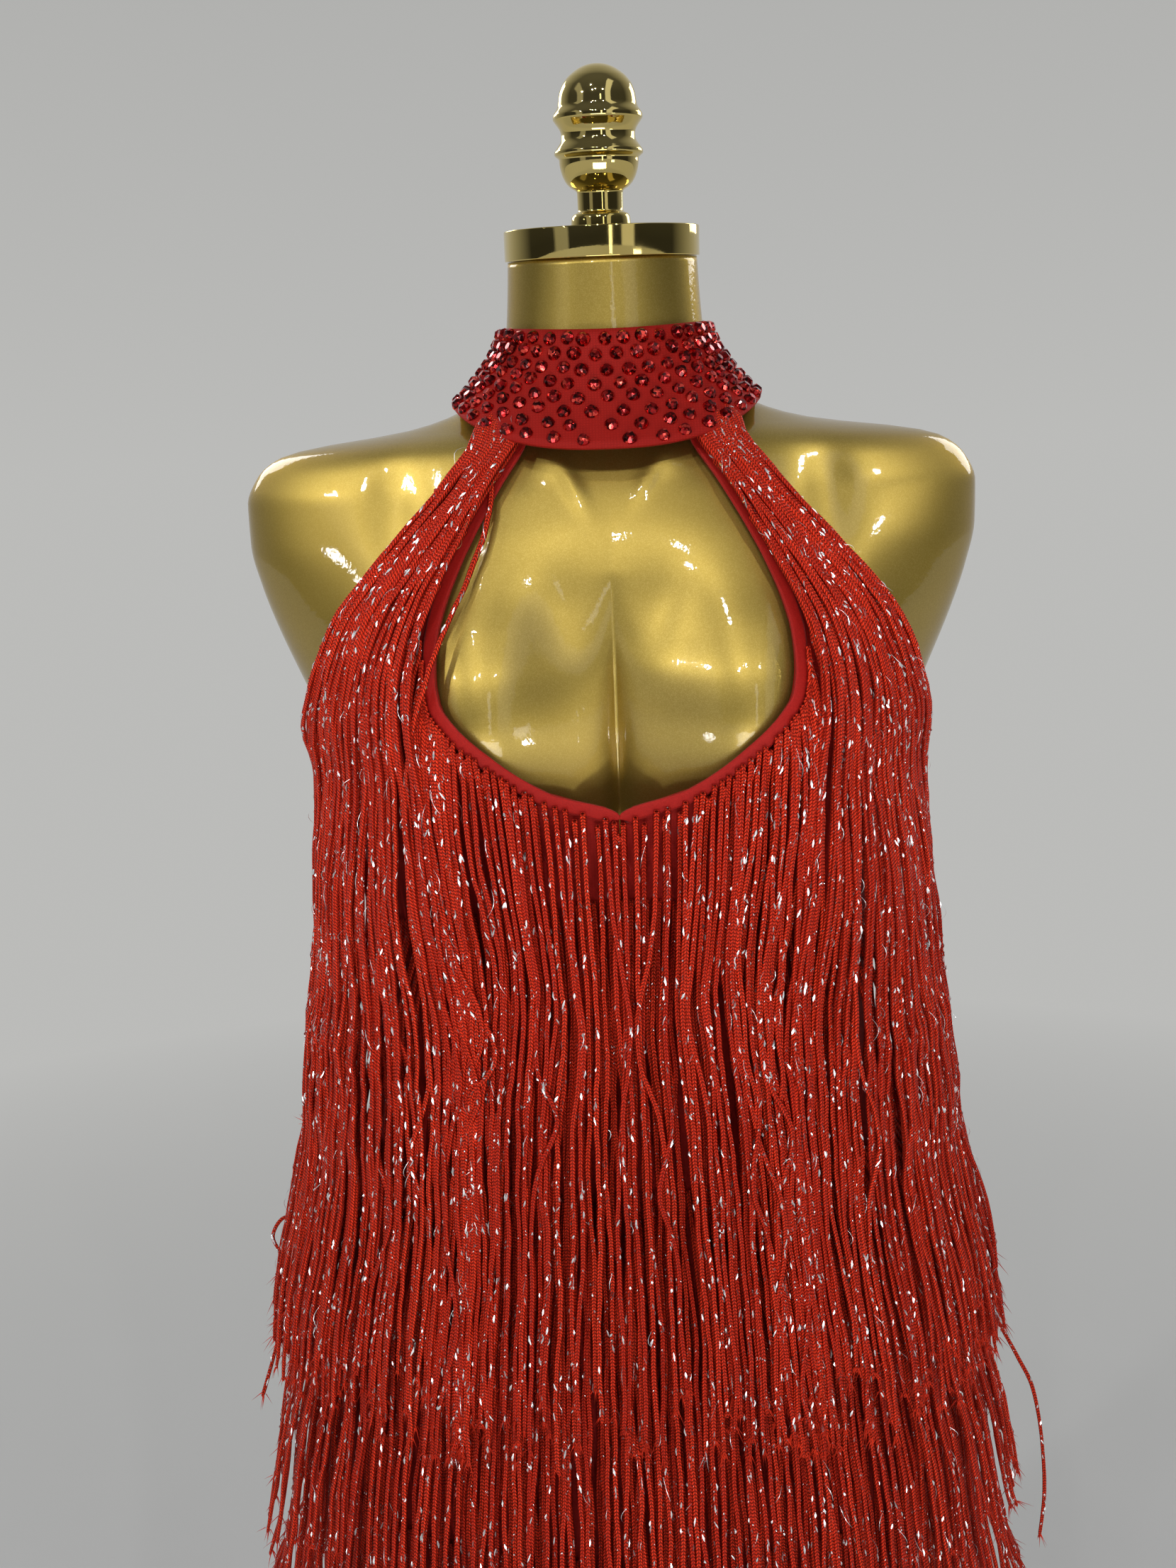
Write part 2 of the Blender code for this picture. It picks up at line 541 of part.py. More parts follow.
def comb(name, place, edges, ways, end, layer, closed=False, raised=0.0, mirror=False, paired=True):
    """A tape with cords fused to its lower edge.

    place gives across and height for a share along the tape and a way down from it. Every second
    stretch between the edges carries a cord. ways are the places of a cord's sections, as shares of
    its length, and end is the height where the cords end. raised lifts the tape and the cords' upper
    part. Paired cords have an equal on the other side of the same tape.
    """
    vertices = []

    def add(share, down, lift):
        across, height = place(share, down)
        vertices.append(over_cloth(across, height, lift))

    inner, outer = TAPE_GAP + raised, TAPE_GAP + raised + TAPE_WALL
    borders = edges[:-1] if closed else edges
    for share in borders:
        for down in (0, TAPE_TALL):
            add(share, down, inner)
            add(share, down, outer)
    faces = []
    stretches = len(edges) - 1
    cords = stretches // 2
    for stretch in range(stretches):
        a, b = 4 * stretch, 4 * ((stretch + 1) % len(borders))
        faces += [(a + 1, a + 3, b + 3, b + 1), (a + 2, a, b, b + 2), (a, a + 1, b + 1, b)]
        if stretch % 2 == 0:
            faces.append((a + 3, a + 2, b + 2, b + 3))
            continue
        number = stretch // 2
        middle, half = (edges[stretch] + edges[stretch + 1]) / 2, (edges[stretch + 1] - edges[stretch]) / 2
        root = place(middle, 0.0)[1]
        play = END_PLAY * uneven(min(number, cords - 1 - number) if paired else number)
        length = FALL_REACH + place(middle, FALL_REACH)[1] - end + play
        ring = [a + 2, a + 3, b + 3, b + 2]
        for way in ways:
            down, last = way * length, way == ways[-1]
            over = raised * float(np.interp(down, RAISED_FADE, (1, 0)))
            lift = float(layer_lift(place(middle, down)[1], layer, root)) + over
            thick = min(CORD_THICK, 2 * (lift - GAP)) / 2 * (TIP_THICK if last else 1)
            wide = half * (TIP_WIDE if last else 1)
            below = list(range(len(vertices), len(vertices) + 4))
            for side, out in ((-1, -1), (-1, 1), (1, 1), (1, -1)):
                add(middle + side * wide, down, lift + out * thick)
            for k in range(4):
                n = (k + 1) % 4
                faces.append((ring[n], ring[k], below[k], below[n]))
            ring = below
        faces.append(tuple(ring[::-1]))
    if not closed:
        last = 4 * stretches
        faces += [(0, 2, 3, 1), (last, last + 1, last + 3, last + 2)]
    points = np.array(vertices)
    if mirror:
        points, faces = mirrored(points), [face[::-1] for face in faces]
    make_object(name, points, faces, RED)


def make_round_fringe():
    for name, layer, root_front, root_back, end, cords, stretches in FRINGE_ROWS:
        middle, spread = (root_front + root_back) / 2, (root_front - root_back) / 2

        def place(share, down, middle=middle, spread=spread):
            return share, middle + spread * math.cos(share * math.pi) - down

        ways = np.linspace(0, 1, stretches + 1)[1:] ** 1.15
        comb(name, place, comb_edges(-1, 1, cords, closed=True), ways, end, layer, closed=True)


def keyhole_place(share, down):
    """Along the keyhole's lower edge: share runs from -1 at its left end to 1 at its right end."""
    across, height = front_place(0.0, KEYHOLE_ROW - KEYHOLE_TAPE_ROWS * abs(share) ** 0.9)
    below = KEYHOLE_TAPE_BELOW + 0.0025 * abs(share)
    outwards = 1 + 0.08 * abs(share)
    return math.copysign(max(float(across), SEAM_SHARE) * outwards, share), float(height) - below - down


def make_keyhole_fringe():
    ways = (0.08, 0.20, 0.40, 0.68, 1.0)
    edges = comb_edges(-1, 1, KEYHOLE_CORDS)
    comb("fringe_keyhole", keyhole_place, edges, ways, TOP_END, TOP_LAYER, raised=-TAPE_CLOSER)


def make_strap_fringe():
    """The strap's cords follow the strap down to the bust and then hang."""
    rows = np.linspace(COLLAR_ROW, BUST_ROW, 40)

    def place(share, down):
        across, height = front_place(share, rows)
        steps = np.linalg.norm(np.diff(skin_point(across, height), axis=0), axis=1)
        way = np.concatenate([[0], np.cumsum(steps)])
        if down <= way[-1]:
            return float(np.interp(down, way, across)), float(np.interp(down, way, height))
        hang = down - way[-1]
        settled = STRAP_HANGS[0] + (STRAP_HANGS[1] - STRAP_HANGS[0]) * share
        drift = (settled - across[-1]) * (1 - math.exp(-hang / 0.05))
        return float(across[-1] + drift), float(height[-1] - hang)

    ways = (0.05, 0.11, 0.17, 0.23, 0.29, 0.35, 0.43, 0.54, 0.74, 1.0)
    edges = comb_edges(0.08, 0.96, STRAP_CORDS)
    for name, mirror in (("fringe_strap_right", False), ("fringe_strap_left", True)):
        comb(name, place, edges, ways, TOP_END, TOP_LAYER, False, TAPE_OVER_BINDING, mirror, False)


def make_back_fringe():
    def place(share, down):
        return share, back_edge(share) - 0.010 - down

    ways = (0.16, 0.42, 0.70, 1.0)
    comb("fringe_back", place, comb_edges(0.515, 1.485, BACK_CORDS), ways, TOP_END, TOP_LAYER)


def main():
    for obj in list(bpy.data.objects):
        bpy.data.objects.remove(obj)
    collection = bpy.data.collections.new("fringe_dress")
    bpy.context.scene.collection.children.link(collection)
    make_torso()
    make_stand()
    make_neck_top()
    make_collar()
    make_fronts()
    make_back()
    make_bindings()
    make_strap_fringe()
    make_keyhole_fringe()
    make_back_fringe()
    make_round_fringe()


main()
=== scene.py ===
# %% [markdown]
# # A red fringe dress on its gold dress form
#
# The photograph shows the upper part of a dance dress: a halter collar set with faceted red stones,
# two narrow straps round a large keyhole opening, and row over row of crocheted cords with silver
# thread in them. It hangs on a gold-painted dress form without arms or head. A CAD model already
# holds every size. This script loads that model as a fixed frame, takes the same skin to place
# everything on, and gives each piece the shape and finish that the eye expects.

import json
import math

import bpy
import numpy as np
from mathutils import Matrix, Vector

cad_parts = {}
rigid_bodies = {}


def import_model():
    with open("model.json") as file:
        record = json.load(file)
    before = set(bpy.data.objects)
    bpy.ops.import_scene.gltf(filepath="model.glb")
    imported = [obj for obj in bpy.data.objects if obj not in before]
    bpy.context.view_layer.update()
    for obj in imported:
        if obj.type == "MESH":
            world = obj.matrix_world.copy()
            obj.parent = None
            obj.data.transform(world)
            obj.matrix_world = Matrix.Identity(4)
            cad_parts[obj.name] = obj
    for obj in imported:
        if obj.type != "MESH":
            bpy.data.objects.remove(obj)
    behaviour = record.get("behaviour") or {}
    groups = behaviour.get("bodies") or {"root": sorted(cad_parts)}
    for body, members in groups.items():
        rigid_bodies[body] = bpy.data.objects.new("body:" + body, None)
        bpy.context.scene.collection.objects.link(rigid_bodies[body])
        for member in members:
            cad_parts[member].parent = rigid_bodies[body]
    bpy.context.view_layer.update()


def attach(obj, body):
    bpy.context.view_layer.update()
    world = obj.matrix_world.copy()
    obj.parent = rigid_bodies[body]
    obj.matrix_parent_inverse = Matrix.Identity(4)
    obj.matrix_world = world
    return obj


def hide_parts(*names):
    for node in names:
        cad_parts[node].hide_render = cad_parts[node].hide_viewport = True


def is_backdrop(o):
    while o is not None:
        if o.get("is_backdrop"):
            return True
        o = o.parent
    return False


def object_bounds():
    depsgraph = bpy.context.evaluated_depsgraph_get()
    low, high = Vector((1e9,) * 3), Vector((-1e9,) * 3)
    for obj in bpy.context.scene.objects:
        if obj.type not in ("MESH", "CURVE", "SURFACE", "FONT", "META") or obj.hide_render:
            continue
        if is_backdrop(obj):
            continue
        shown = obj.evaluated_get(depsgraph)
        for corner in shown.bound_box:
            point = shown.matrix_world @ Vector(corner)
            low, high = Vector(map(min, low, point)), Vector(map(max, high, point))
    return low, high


for leftover in list(bpy.data.objects):
    bpy.data.objects.remove(leftover)
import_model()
dress = bpy.data.collections.new("dress")
bpy.context.scene.collection.children.link(dress)
chance = np.random.default_rng(20)

# %% [markdown]
# ## The skin that everything lies on
#
# The form is described by level sections: at each height its half width, its depth in front and
# behind, and how round it is. Stretch cloth doesn't follow hollows, so the skin is each section
# pulled taut, like a belt round it. Any place on the dress is then two numbers, "across" (0 in the
# front centre, 0.5 at the side, 1 in the back centre) and the height over the floor. A sculpted mesh
# could give the same shape, but then no strap, cord or stone would know where the cloth is.

# %% Sections of the form
# height, half width, front depth, back depth, roundness seen across x, roundness seen across y
FORM_SECTIONS = (
    (0.580, 0.1680, 0.1080, 0.1160, 2.25, 2.25),
    (0.660, 0.1690, 0.1090, 0.1180, 2.25, 2.25),
    (0.720, 0.1765, 0.1120, 0.1240, 2.25, 2.25),
    (0.790, 0.1800, 0.1140, 0.1260, 2.25, 2.25),
    (0.860, 0.1730, 0.1110, 0.1200, 2.25, 2.25),
    (0.920, 0.1560, 0.1030, 0.1070, 2.20, 2.20),
    (0.980, 0.1330, 0.0940, 0.0930, 2.15, 2.15),
    (1.040, 0.1220, 0.0880, 0.0850, 2.15, 2.15),
    (1.090, 0.1300, 0.0920, 0.0880, 2.15, 2.15),
    (1.140, 0.1430, 0.0980, 0.0940, 2.15, 2.15),
    (1.180, 0.1540, 0.1010, 0.0990, 2.15, 2.15),
    (1.218, 0.1700, 0.1030, 0.1020, 2.15, 2.10),
    (1.239, 0.1790, 0.1030, 0.1035, 2.15, 2.10),
    (1.262, 0.1885, 0.1010, 0.1035, 2.15, 2.05),
    (1.284, 0.1960, 0.0970, 0.1020, 2.10, 2.00),
    (1.306, 0.2010, 0.0910, 0.0980, 2.10, 1.90),
    (1.328, 0.2015, 0.0820, 0.0900, 2.05, 1.75),
    (1.343, 0.1950, 0.0740, 0.0820, 2.00, 1.55),
    (1.352, 0.1840, 0.0685, 0.0765, 2.00, 1.40),
    (1.357, 0.1670, 0.0650, 0.0730, 2.00, 1.25),
    (1.3605, 0.1420, 0.0625, 0.0705, 2.00, 1.20),
    (1.364, 0.1150, 0.0600, 0.0680, 2.00, 1.30),
    (1.371, 0.0880, 0.0565, 0.0640, 2.00, 1.55),
    (1.382, 0.0670, 0.0535, 0.0590, 2.00, 1.80),
    (1.398, 0.0560, 0.0515, 0.0540, 2.00, 1.95),
    (1.425, 0.0525, 0.0505, 0.0515, 2.00, 2.00),
    (1.460, 0.0505, 0.0500, 0.0505, 2.00, 2.00),
)
BUST_X = 0.077
BUST_HEIGHT = 1.212
BUST_RISE = 0.040
BUST_WIDE = 0.052
BUST_ABOVE = 0.070
BUST_BELOW = 0.046
CLOTH_BELOW = 0.105  # the cloth falls from the bust and doesn't follow the hollow under it

# height, room between the form and the cloth
EASE = (
    (0.60, 0.0028), (0.82, 0.0028), (0.90, 0.0050), (0.98, 0.0120),
    (1.04, 0.0150), (1.10, 0.0090), (1.15, 0.0040), (1.20, 0.0036),
    (1.24, 0.0030), (1.28, 0.0024), (1.45, 0.0022),
)


def curve_through(knots, values, at):
    """Values read from one smooth curve through the given points, which never swings past them."""
    knots, values = np.asarray(knots, float), np.asarray(values, float)
    step = np.diff(knots)
    slope = np.diff(values) / step
    product = slope[:-1] * slope[1:]
    total = slope[:-1] + slope[1:]
    between = np.where(product > 0, 2 * product / np.where(product > 0, total, 1), 0)
    tangent = np.concatenate([slope[:1], between, slope[-1:]])
    at = np.clip(np.asarray(at, float), knots[0], knots[-1])
    cell = np.clip(np.searchsorted(knots, at, side="right") - 1, 0, len(step) - 1)
    t = (at - knots[cell]) / step[cell]
    rise = (3 - 2 * t) * t**2
    lead = t * (1 - t) ** 2 * step[cell] * tangent[cell]
    trail = t**2 * (1 - t) * step[cell] * tangent[cell + 1]
    return values[cell] * (1 - rise) + values[cell + 1] * rise + lead - trail


def column(table, height, index):
    """One column of a table, read at any height."""
    return curve_through([row[0] for row in table], [row[index] for row in table], height)


def ease(height):
    return column(EASE, height, 1)


def form_half(height, below=BUST_BELOW, count=361):
    """x and y of the form's right half at one height, from the front centre to the back centre."""
    half, front, back, round_x, round_y = (column(FORM_SECTIONS, height, i) for i in range(1, 6))
    turn = np.linspace(0, math.pi, count)
    along, aside = np.cos(turn), np.sin(turn)
    x = half * np.abs(aside) ** (2 / round_x)
    y = -np.where(along > 0, front, back) * np.sign(along) * np.abs(along) ** (2 / round_y)
    reach = BUST_ABOVE if height > BUST_HEIGHT else below
    swell = np.exp(-(((x - BUST_X) / BUST_WIDE) ** 2) - ((height - BUST_HEIGHT) / reach) ** 2)
    return x, y - BUST_RISE * swell * np.sqrt(np.clip(along, 0, 1))


def evenly(x, y, shares):
    """Points at shares of the outline: 0 to 0.5 lies before its widest point, 0.5 to 1 after it."""
    widest = int(np.argmax(x))
    length = np.concatenate([[0], np.cumsum(np.hypot(np.diff(x), np.diff(y)))])
    wanted = np.interp(shares, [0, 0.5, 1], [0, length[widest], length[-1]])
    return np.interp(wanted, length, x), np.interp(wanted, length, y)


widest = 2 * max(row[1] for row in FORM_SECTIONS)
print("sections of the form:", len(FORM_SECTIONS), "widest", widest, "m")


# %% The taut skin
def taut(x, y):
    """The same half outline as stretched cloth takes it, straight over each hollow."""
    outline = sorted(zip(y, x))
    chain = []
    for point in [(outline[0][0], 0.0)] + outline + [(outline[-1][0], 0.0)]:
        while len(chain) > 1:
            (y0, x0), (y1, x1) = chain[-2], chain[-1]
            if (y1 - y0) * (point[1] - x0) - (x1 - x0) * (point[0] - y0) < 0:
                break
            chain.pop()
        chain.append(point)
    chain = np.array(chain)
    return chain[:, 1], chain[:, 0]


SKIN_HEIGHTS = np.concatenate([np.arange(0.58, 1.32, 0.01), np.arange(1.32, 1.456, 0.004)])
SKIN_SHARES = np.linspace(0, 1, 181)
SKIN = np.array(
    [np.stack(evenly(*taut(*form_half(h, CLOTH_BELOW)), SKIN_SHARES), -1) for h in SKIN_HEIGHTS]
)


def skin_point(across, height):
    across, height = np.broadcast_arrays(np.asarray(across, float), np.asarray(height, float))
    signed = (across + 1) % 2 - 1
    row = np.interp(height, SKIN_HEIGHTS, np.arange(len(SKIN_HEIGHTS)))
    col = np.abs(signed) * (len(SKIN_SHARES) - 1)
    row0 = np.clip(row.astype(int), 0, len(SKIN_HEIGHTS) - 2)
    col0 = np.clip(col.astype(int), 0, len(SKIN_SHARES) - 2)
    down, over = (row - row0)[..., None], (col - col0)[..., None]
    near = SKIN[row0, col0] * (1 - over) + SKIN[row0, col0 + 1] * over
    far = SKIN[row0 + 1, col0] * (1 - over) + SKIN[row0 + 1, col0 + 1] * over
    flat = near * (1 - down) + far * down
    return np.stack([np.where(signed < 0, -1, 1) * flat[..., 0], flat[..., 1], height], -1)


def unit(vectors):
    return vectors / np.linalg.norm(vectors, axis=-1, keepdims=True)


def skin(across, height, out):
    """Points that lie out from the taut skin, and the skin's outward direction there."""
    sideways = skin_point(across + 0.012, height) - skin_point(across - 0.012, height)
    upwards = skin_point(across, height + 0.006) - skin_point(across, height - 0.006)
    normal = unit(np.cross(sideways, upwards))
    return skin_point(across, height) + normal * np.asarray(out)[..., None], normal


print("skin:", SKIN.shape[0], "heights by", SKIN.shape[1], "places from front to back")

# %% [markdown]
# ## Meshes from arrays
#
# Almost every piece here is a grid of points that bends in space: a panel, a binding, a turned knob,
# a cord. One helper that turns arrays of points and faces into a mesh keeps each piece down to the
# question of where its points lie. Blender's foreach_set takes whole arrays, which is hundreds of
# times faster than adding vertices one by one, and that matters with a thousand cords.


# %% Helpers for meshes
def mesh_from(name, vertices, faces, material, smooth=True):
    """An object from points and a list of face arrays, each with one number of corners."""
    mesh = bpy.data.meshes.new(name)
    corners = np.concatenate([f.ravel() for f in faces])
    totals = np.concatenate([np.full(len(f), f.shape[1]) for f in faces])
    mesh.vertices.add(len(vertices))
    mesh.vertices.foreach_set("co", np.asarray(vertices, np.float32).ravel())
    mesh.loops.add(len(corners))
    mesh.loops.foreach_set("vertex_index", corners.astype(np.int32))
    mesh.polygons.add(len(totals))
    starts = np.concatenate([[0], np.cumsum(totals)[:-1]])
    mesh.polygons.foreach_set("loop_start", starts.astype(np.int32))
    mesh.update(calc_edges=True)
    mesh.polygons.foreach_set("use_smooth", np.full(len(totals), smooth))
    mesh.materials.append(material)
    obj = bpy.data.objects.new(name, mesh)
    dress.objects.link(obj)
    return obj


def grid_faces(rows, columns, wrap=False):
    """Four-cornered faces of a grid of points that are listed row by row."""
    cells = np.arange(columns if wrap else columns - 1)
    row, col = np.meshgrid(np.arange(rows - 1), cells, indexing="ij")
    after = (col + 1) % columns
    here, below = row * columns, (row + 1) * columns
    corners = [here + col, below + col, below + after, here + after]
    return np.stack(corners, -1).reshape(-1, 4)


def panel(name, points, wall, material):
    """A cloth panel: an open grid of points, [row, column], thickened away from the pole's axis."""
    rows, columns = points.shape[:2]
    r, c = rows // 2, columns // 2
    normal = np.cross(points[r, c] - points[r - 1, c], points[r, c] - points[r, c - 1])
    faces = grid_faces(rows, columns)
    if normal @ (points[r, c] * np.array([1, 1, 0])) < 0:
        faces = faces[:, ::-1]
    obj = mesh_from(name, points.reshape(-1, 3), [faces], material)
    solidify = obj.modifiers.new("wall", "SOLIDIFY")
    solidify.thickness = wall
    solidify.offset = 1
    return obj


def turned(name, profile, material, steps, place=(0, 0, 0), lean=0.0):
    """A turned piece from a profile of (radius, height) that starts and ends on its axis."""
    turn = np.linspace(0, 2 * math.pi, steps, endpoint=False)
    profile = np.array(profile)
    radius, height = profile[1:-1, :1], np.repeat(profile[1:-1, 1:], steps, axis=1)
    ring = np.stack([radius * np.cos(turn), radius * np.sin(turn), height], -1)
    ends = [(0, 0, profile[0, 1]), (0, 0, profile[-1, 1])]
    points = np.concatenate([ring.reshape(-1, 3), ends])
    faces = grid_faces(len(radius), steps, wrap=True)
    first, last = np.arange(steps), np.arange(steps) + (len(radius) - 1) * steps
    top = np.stack([np.full(steps, len(points) - 2), first, np.roll(first, -1)], -1)
    low = np.stack([np.full(steps, len(points) - 1), np.roll(last, -1), last], -1)
    obj = mesh_from(name, points, [faces, top, low], material)
    obj.matrix_world = Matrix.Translation(place) @ Matrix.Rotation(lean, 4, "X")
    return obj


def arc(centre, radius, first, last, count=6):
    """Points of an arc in a turned profile, with angles in degrees from the +radius direction."""
    turn = np.radians(np.linspace(first, last, count))
    return [(centre[0] + radius * math.cos(a), centre[1] + radius * math.sin(a)) for a in turn]


def triangles(obj):
    """Triangles of an object with its modifiers."""
    shown = obj.evaluated_get(bpy.context.evaluated_depsgraph_get())
    return sum(len(face.vertices) - 2 for face in shown.data.polygons)


def stands_for(cad_node):
    """The piece takes the place of a CAD node, which is hidden."""
    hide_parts(cad_node)


print("helpers ready")

# %% [markdown]
# ## Finishes
#
# Each finish is a node tree on one Principled shader. The values that stay the same all over sit on
# the shader's own sockets. What varies comes from procedural textures in metres, so that a weave or a
# flake has its real size on every piece.


# %% A small kit for node trees
def finish_of(name, colour, roughness, metallic=0.0, **sockets):
    """A material with its Principled shader set."""
    material = bpy.data.materials.new(name)
    material.use_nodes = True
    shader = material.node_tree.nodes["Principled BSDF"]
    shader.inputs["Base Color"].default_value = (*colour, 1)
    shader.inputs["Roughness"].default_value = roughness
    shader.inputs["Metallic"].default_value = metallic
    for socket, value in sockets.items():
        shader.inputs[socket.replace("_", " ")].default_value = value
    return material, shader


def node(material, kind, inputs=None, **settings):
    """A node with its settings, and its inputs set to values or linked to other nodes' outputs."""
    made = material.node_tree.nodes.new("ShaderNode" + kind)
    for key, value in settings.items():
        setattr(made, key, value)
    for key, value in (inputs or {}).items():
        if isinstance(value, bpy.types.NodeSocket):
            material.node_tree.links.new(value, made.inputs[key])
        else:
            made.inputs[key].default_value = value
    return made


def maths(material, operation, *values):
    return node(material, "Math", dict(enumerate(values)), operation=operation).outputs[0]


def noise(material, scale, detail=2.0, vector=None):
    if vector is None:
        vector = node(material, "TexCoord").outputs["Object"]
    inputs = {"Scale": scale, "Detail": detail, "Vector": vector}
    return node(material, "TexNoise", inputs).outputs["Fac"]


def between(material, amount, first, second):
    """A colour between two colours."""
    mix = node(material, "Mix", data_type="RGBA")
    link = material.node_tree.links.new
    link(amount, mix.inputs[0])
    for value, socket in ((first, mix.inputs[6]), (second, mix.inputs[7])):
        if isinstance(value, bpy.types.NodeSocket):
            link(value, socket)
        else:
            socket.default_value = (*value, 1)
    return mix.outputs[2]


def stretch(material, amount, low, high, new_low, new_high):
    """A value moved from one range to another, and kept inside it."""
    inputs = {0: amount, 1: low, 2: high, 3: new_low, 4: new_high}
    return node(material, "MapRange", inputs).outputs[0]


def patchy(material, amount, first, second, low=0.3, high=0.7):
    """Two colours in soft patches, where amount is a noise."""
    return between(material, stretch(material, amount, low, high, 0, 1), first, second)


def emboss(material, shader, height, distance, socket="Normal", strength=1.0):
    inputs = {"Strength": strength, "Distance": distance, "Height": height}
    link = material.node_tree.links.new
    link(node(material, "Bump", inputs).outputs[0], shader.inputs[socket])


def join(material, output, shader, socket):
    material.node_tree.links.new(output, shader.inputs[socket])


print("node kit ready")

# %% [markdown]
# ## The dress form's paint
#
# The form is a glass-fibre shell with metallic gold paint and clear lacquer over it. The flakes give
# a satin base that goes olive brown at the edges, and the lacquer gives small sharp highlights with
# the slight unevenness of sprayed paint. So there are two layers: a rough metallic base with
# flake-sized colour changes, and a coat with its own gentle bump.

# %% Gold paint
GOLD_PAINT = (0.40, 0.285, 0.060)
GOLD_FLAKE = (0.62, 0.47, 0.14)
GOLD_WORN = (0.33, 0.23, 0.045)
gold_paint, shader = finish_of(
    "gold paint", GOLD_PAINT, 0.36, 0.9, Coat_Weight=0.8, Coat_Roughness=0.04
)
shader.inputs["Specular Tint"].default_value = (0.50, 0.40, 0.20, 1)
where = node(gold_paint, "TexCoord").outputs["Object"]
flakes = node(gold_paint, "TexVoronoi", {"Vector": where, "Scale": 2600.0}).outputs["Color"]
flake = node(gold_paint, "SeparateColor", {0: flakes}).outputs
cloud = noise(gold_paint, 9.0, 3.0)
flake_amount = stretch(gold_paint, flake[0], 0.35, 1.0, 0.0, 0.4)
base = between(gold_paint, flake_amount, GOLD_PAINT, GOLD_FLAKE)
worn = between(gold_paint, stretch(gold_paint, cloud, 0.35, 0.7, 0.0, 0.35), base, GOLD_WORN)
join(gold_paint, worn, shader, "Base Color")
join(gold_paint, stretch(gold_paint, cloud, 0.3, 0.7, 0.38, 0.46), shader, "Roughness")
emboss(gold_paint, shader, flake[1], 0.00002, strength=0.4)
emboss(gold_paint, shader, noise(gold_paint, 330.0, 2.0), 0.00012, "Coat Normal", 0.6)
print("gold paint: base with", len(gold_paint.node_tree.nodes), "nodes")

# %% [markdown]
# ## The form
#
# The body is built as rings of points, close together where the photograph shows it and wide apart
# under the dress. Its sections come straight from the tables above, so it fills the CAD solid that it
# stands for, only far smoother. Two things are finer than in the solid: the relief of the chest, and
# the underside of the bust, which is a little fuller, as the photograph's highlights ask.

# %% The body of the form
FORM_BOTTOM = 0.66
NECK_TOP = 1.451
NECK_LEAN = math.radians(5)  # the neck's top plane and what stands on it lean forward
RINGS = ((0.675, 1.0, 0.02), (1.0, 1.14, 0.01), (1.14, 1.38, 0.003), (1.38, NECK_TOP, 0.004))
FORM_AROUND = 264
BOTTOM_EDGE = 0.015  # radius of the rounded edge at the form's bottom
BUST_UNDER = 0.078  # under the bust the form itself falls away over this height


# Soft rises and hollows on both sides of the chest: size, x, width, height and tallness of the heads
# of the collarbones, the hollows beside the shoulders and the hollows above the bust.
RELIEF = (
    (0.0030, 0.029, 0.009, 1.349, 0.010),
    (-0.0045, 0.112, 0.013, 1.325, 0.030),
    (-0.0042, 0.029, 0.021, 1.270, 0.026),
)


def swelling(x, height, size, at_x, wide, at_height, tall):
    across = (np.abs(x) - at_x) / wide
    return size * np.exp(-(across**2) - ((height - at_height) / tall) ** 2)


def modelling(x, height):
    """Fine relief of the chest, in metres: the crease, the soft rises and hollows, and the tendons."""
    crease = -0.0062 * np.exp(-np.abs(x) / 0.0070)
    upwards, downwards = (height - 1.150) / 0.02, (1.290 - height) / 0.05
    relief = crease * np.clip(upwards, 0, 1) * np.clip(downwards, 0, 1)
    for place in RELIEF:
        relief = relief + swelling(x, height, *place)
    tendon_x = 0.013 + 0.45 * (height - 1.322)
    return relief + swelling(x, height, 0.0022, tendon_x, 0.0045, 1.337, 0.012)


def form_ring(height):
    shares = np.linspace(0, 1, FORM_AROUND // 2 + 1) ** 1.25
    x, y = evenly(*form_half(height, BUST_UNDER), shares)
    y = y - modelling(x, height) * (y < 0)
    lean = math.tan(NECK_LEAN) * np.clip((height - 1.40) / (NECK_TOP - 1.40), 0, 1)
    right = np.stack([x, y, height + lean * y], -1)
    return np.concatenate([right, (right * [-1, 1, 1])[-2:0:-1]])


rings = []
for turn in np.radians([90, 65, 40, 15]):
    ring = form_ring(FORM_BOTTOM + BOTTOM_EDGE * (1 - math.sin(turn)))
    reach = np.linalg.norm(ring[:, :2], axis=1, keepdims=True)
    inset = BOTTOM_EDGE * (1 - math.cos(turn))
    rings.append(ring * np.append(1 - inset / reach * [[1, 1]], np.ones_like(reach), axis=1))
heights = np.concatenate([np.arange(low, high, step) for low, high, step in RINGS] + [[NECK_TOP]])
rings += [form_ring(h) for h in heights]
points = np.concatenate(rings)
faces = grid_faces(len(rings), FORM_AROUND, wrap=True)[:, ::-1]
lowest = np.arange(FORM_AROUND)[None]
highest = lowest + (len(rings) - 1) * FORM_AROUND
form_body = mesh_from("form_body", points, [faces, lowest[:, ::-1], highest], gold_paint)
stands_for("form_torso")
print("form body:", triangles(form_body), "triangles")

# %% [markdown]
# ## The metal on the neck
#
# A disc with a polished rim closes the neck, and a turned knob stands on it. Both are plated brass.
# Turning is what made the real ones, so a profile spun round an axis is the natural way here too.

# %% Polished gold
polished, shader = finish_of("polished gold", (0.66, 0.52, 0.18), 0.05, 1.0)
smudges = noise(polished, 55.0, 4.0)
join(polished, stretch(polished, smudges, 0.4, 0.75, 0.025, 0.09), shader, "Roughness")
tint = patchy(polished, noise(polished, 20.0), (0.70, 0.56, 0.21), (0.60, 0.46, 0.14))
join(polished, tint, shader, "Base Color")
emboss(polished, shader, noise(polished, 900.0, 1.0), 0.000004)

DISC_RADIUS = 0.0525
DISC_THICK = 0.0155
FINIAL_TALL = 0.081
GAP = 0.0003  # between two solids that touch
RIM = 0.0006  # radius of the disc's rounded edges
